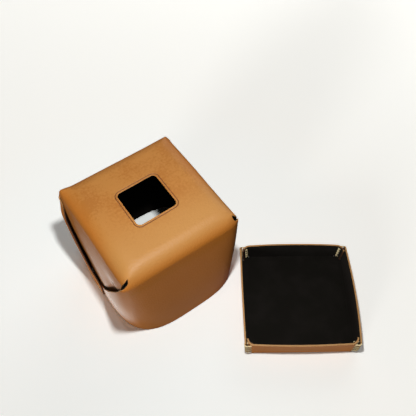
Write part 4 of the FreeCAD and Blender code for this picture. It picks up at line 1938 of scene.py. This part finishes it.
    def laid_colour(self, tree: bpy.types.NodeTree, place: bpy.types.NodeSocket,
                    axes: bpy.types.Node) -> bpy.types.NodeSocket:
        """Colour of the dark cloth and the pale cards on it.

        One card lies left of the cover, one before the tray, and a strip before the cover.

        Args:
            tree: Node tree to add to.
            place: Position in millimetres.
            axes: Node that gives it along each axis.

        Returns:
            The colour.
        """
        across = axes.outputs["X"]
        forward = add_node(tree, "ShaderNodeVectorMath",
                           {"operation": "DOT_PRODUCT", 1: self.tray_card_towards}, {0: place})
        left_card = band(tree, across, self.left_card)
        tray_card = maths(tree, "MULTIPLY", band(tree, forward.outputs["Value"], self.tray_card),
                          ramp(tree, across, *self.tray_card_start, self.tray_card_cover))
        strip = band(tree, axes.outputs["Y"], self.strip, self.strip_cover)
        laid = maths(tree, "MAXIMUM", left_card, maths(tree, "MAXIMUM", strip, tray_card))
        return mix_colours(tree, laid, self.cloth, self.card)

    def table_material(self) -> bpy.types.Material:
        """Build the table's finish: evenly lit paper to the camera, cloth and cards to all other rays.

        Returns:
            The material.
        """
        material, tree, place = new_material("plain_paper")
        axes = add_node(tree, "ShaderNodeSeparateXYZ", None, {0: place})
        lit = add_node(tree, "ShaderNodeBsdfDiffuse", None, {"Color": self.paper_colour(tree, place)})
        clear = add_node(tree, "ShaderNodeEmission", {"Color": linear(self.paper), "Strength": 1.0})
        seen = add_node(tree, "ShaderNodeMixShader", None,
                        {0: self.unshadowed(tree, axes), 1: lit.outputs[0], 2: clear.outputs[0]})
        laid = self.laid_colour(tree, place, axes)
        bounce = add_node(tree, "ShaderNodeBsdfDiffuse", None, {"Color": laid})
        glow = add_node(tree, "ShaderNodeEmission", {"Strength": self.card_glow}, {"Color": laid})
        surface = self.by_ray(tree, seen.outputs[0], bounce.outputs[0], glow.outputs[0])
        add_node(tree, "ShaderNodeOutputMaterial", None, {"Surface": surface})
        return material

    def lay_table(self) -> None:
        """Add the table under the object."""
        half, low = self.table_half * MM, -self.table_drop * MM
        mesh = bpy.data.meshes.new("table")
        mesh.from_pydata([(-half, -half, low), (half, -half, low), (half, half, low), (-half, half, low)],
                         [], [(0, 1, 2, 3)])
        mesh.materials.append(self.table_material())
        table = add_object("table", mesh)

    def place_camera(self) -> None:
        """Add the camera that the picture is taken with."""
        camera = bpy.data.cameras.new("camera")
        camera.lens = self.lens
        camera.sensor_width = self.sensor
        camera.clip_end = self.sight_m
        right, up = Vector(self.camera_right), Vector(self.camera_up)
        back = right.cross(up)
        holder = add_object("camera", camera)
        holder.matrix_world = Matrix.Translation(Vector(self.camera_place) * MM) @ Matrix(
            (right, up, back)).transposed().to_4x4()
        bpy.context.scene.camera = holder

    def build(self) -> None:
        """Set up the whole studio."""
        self.hang_lights()
        self.put_surround()
        self.lay_table()
        self.place_camera()
        bpy.context.scene.view_settings.view_transform = "Standard"


def main() -> None:
    """Dress the frame: cover, seams, tray and lacing, then the studio."""
    logging.basicConfig(level=logging.INFO, format="%(name)s: %(message)s")
    grain = GrainLeather().material()
    cut = CutLeather().material()
    suede = NappedSuede().material()
    thread = WaxedThread().material()
    tray = Tray()
    pieces = Cover().build(grain, cut, suede)
    pieces += SideSeam().build(thread)
    pieces += tray.build(grain, cut, suede)
    pieces += Lacing(tray).build(thread)
    for piece in pieces:
        LOG.info("%s: %d faces", piece.name, len(piece.data.polygons))
    Studio().build()


if __name__ == "__main__":
    main()
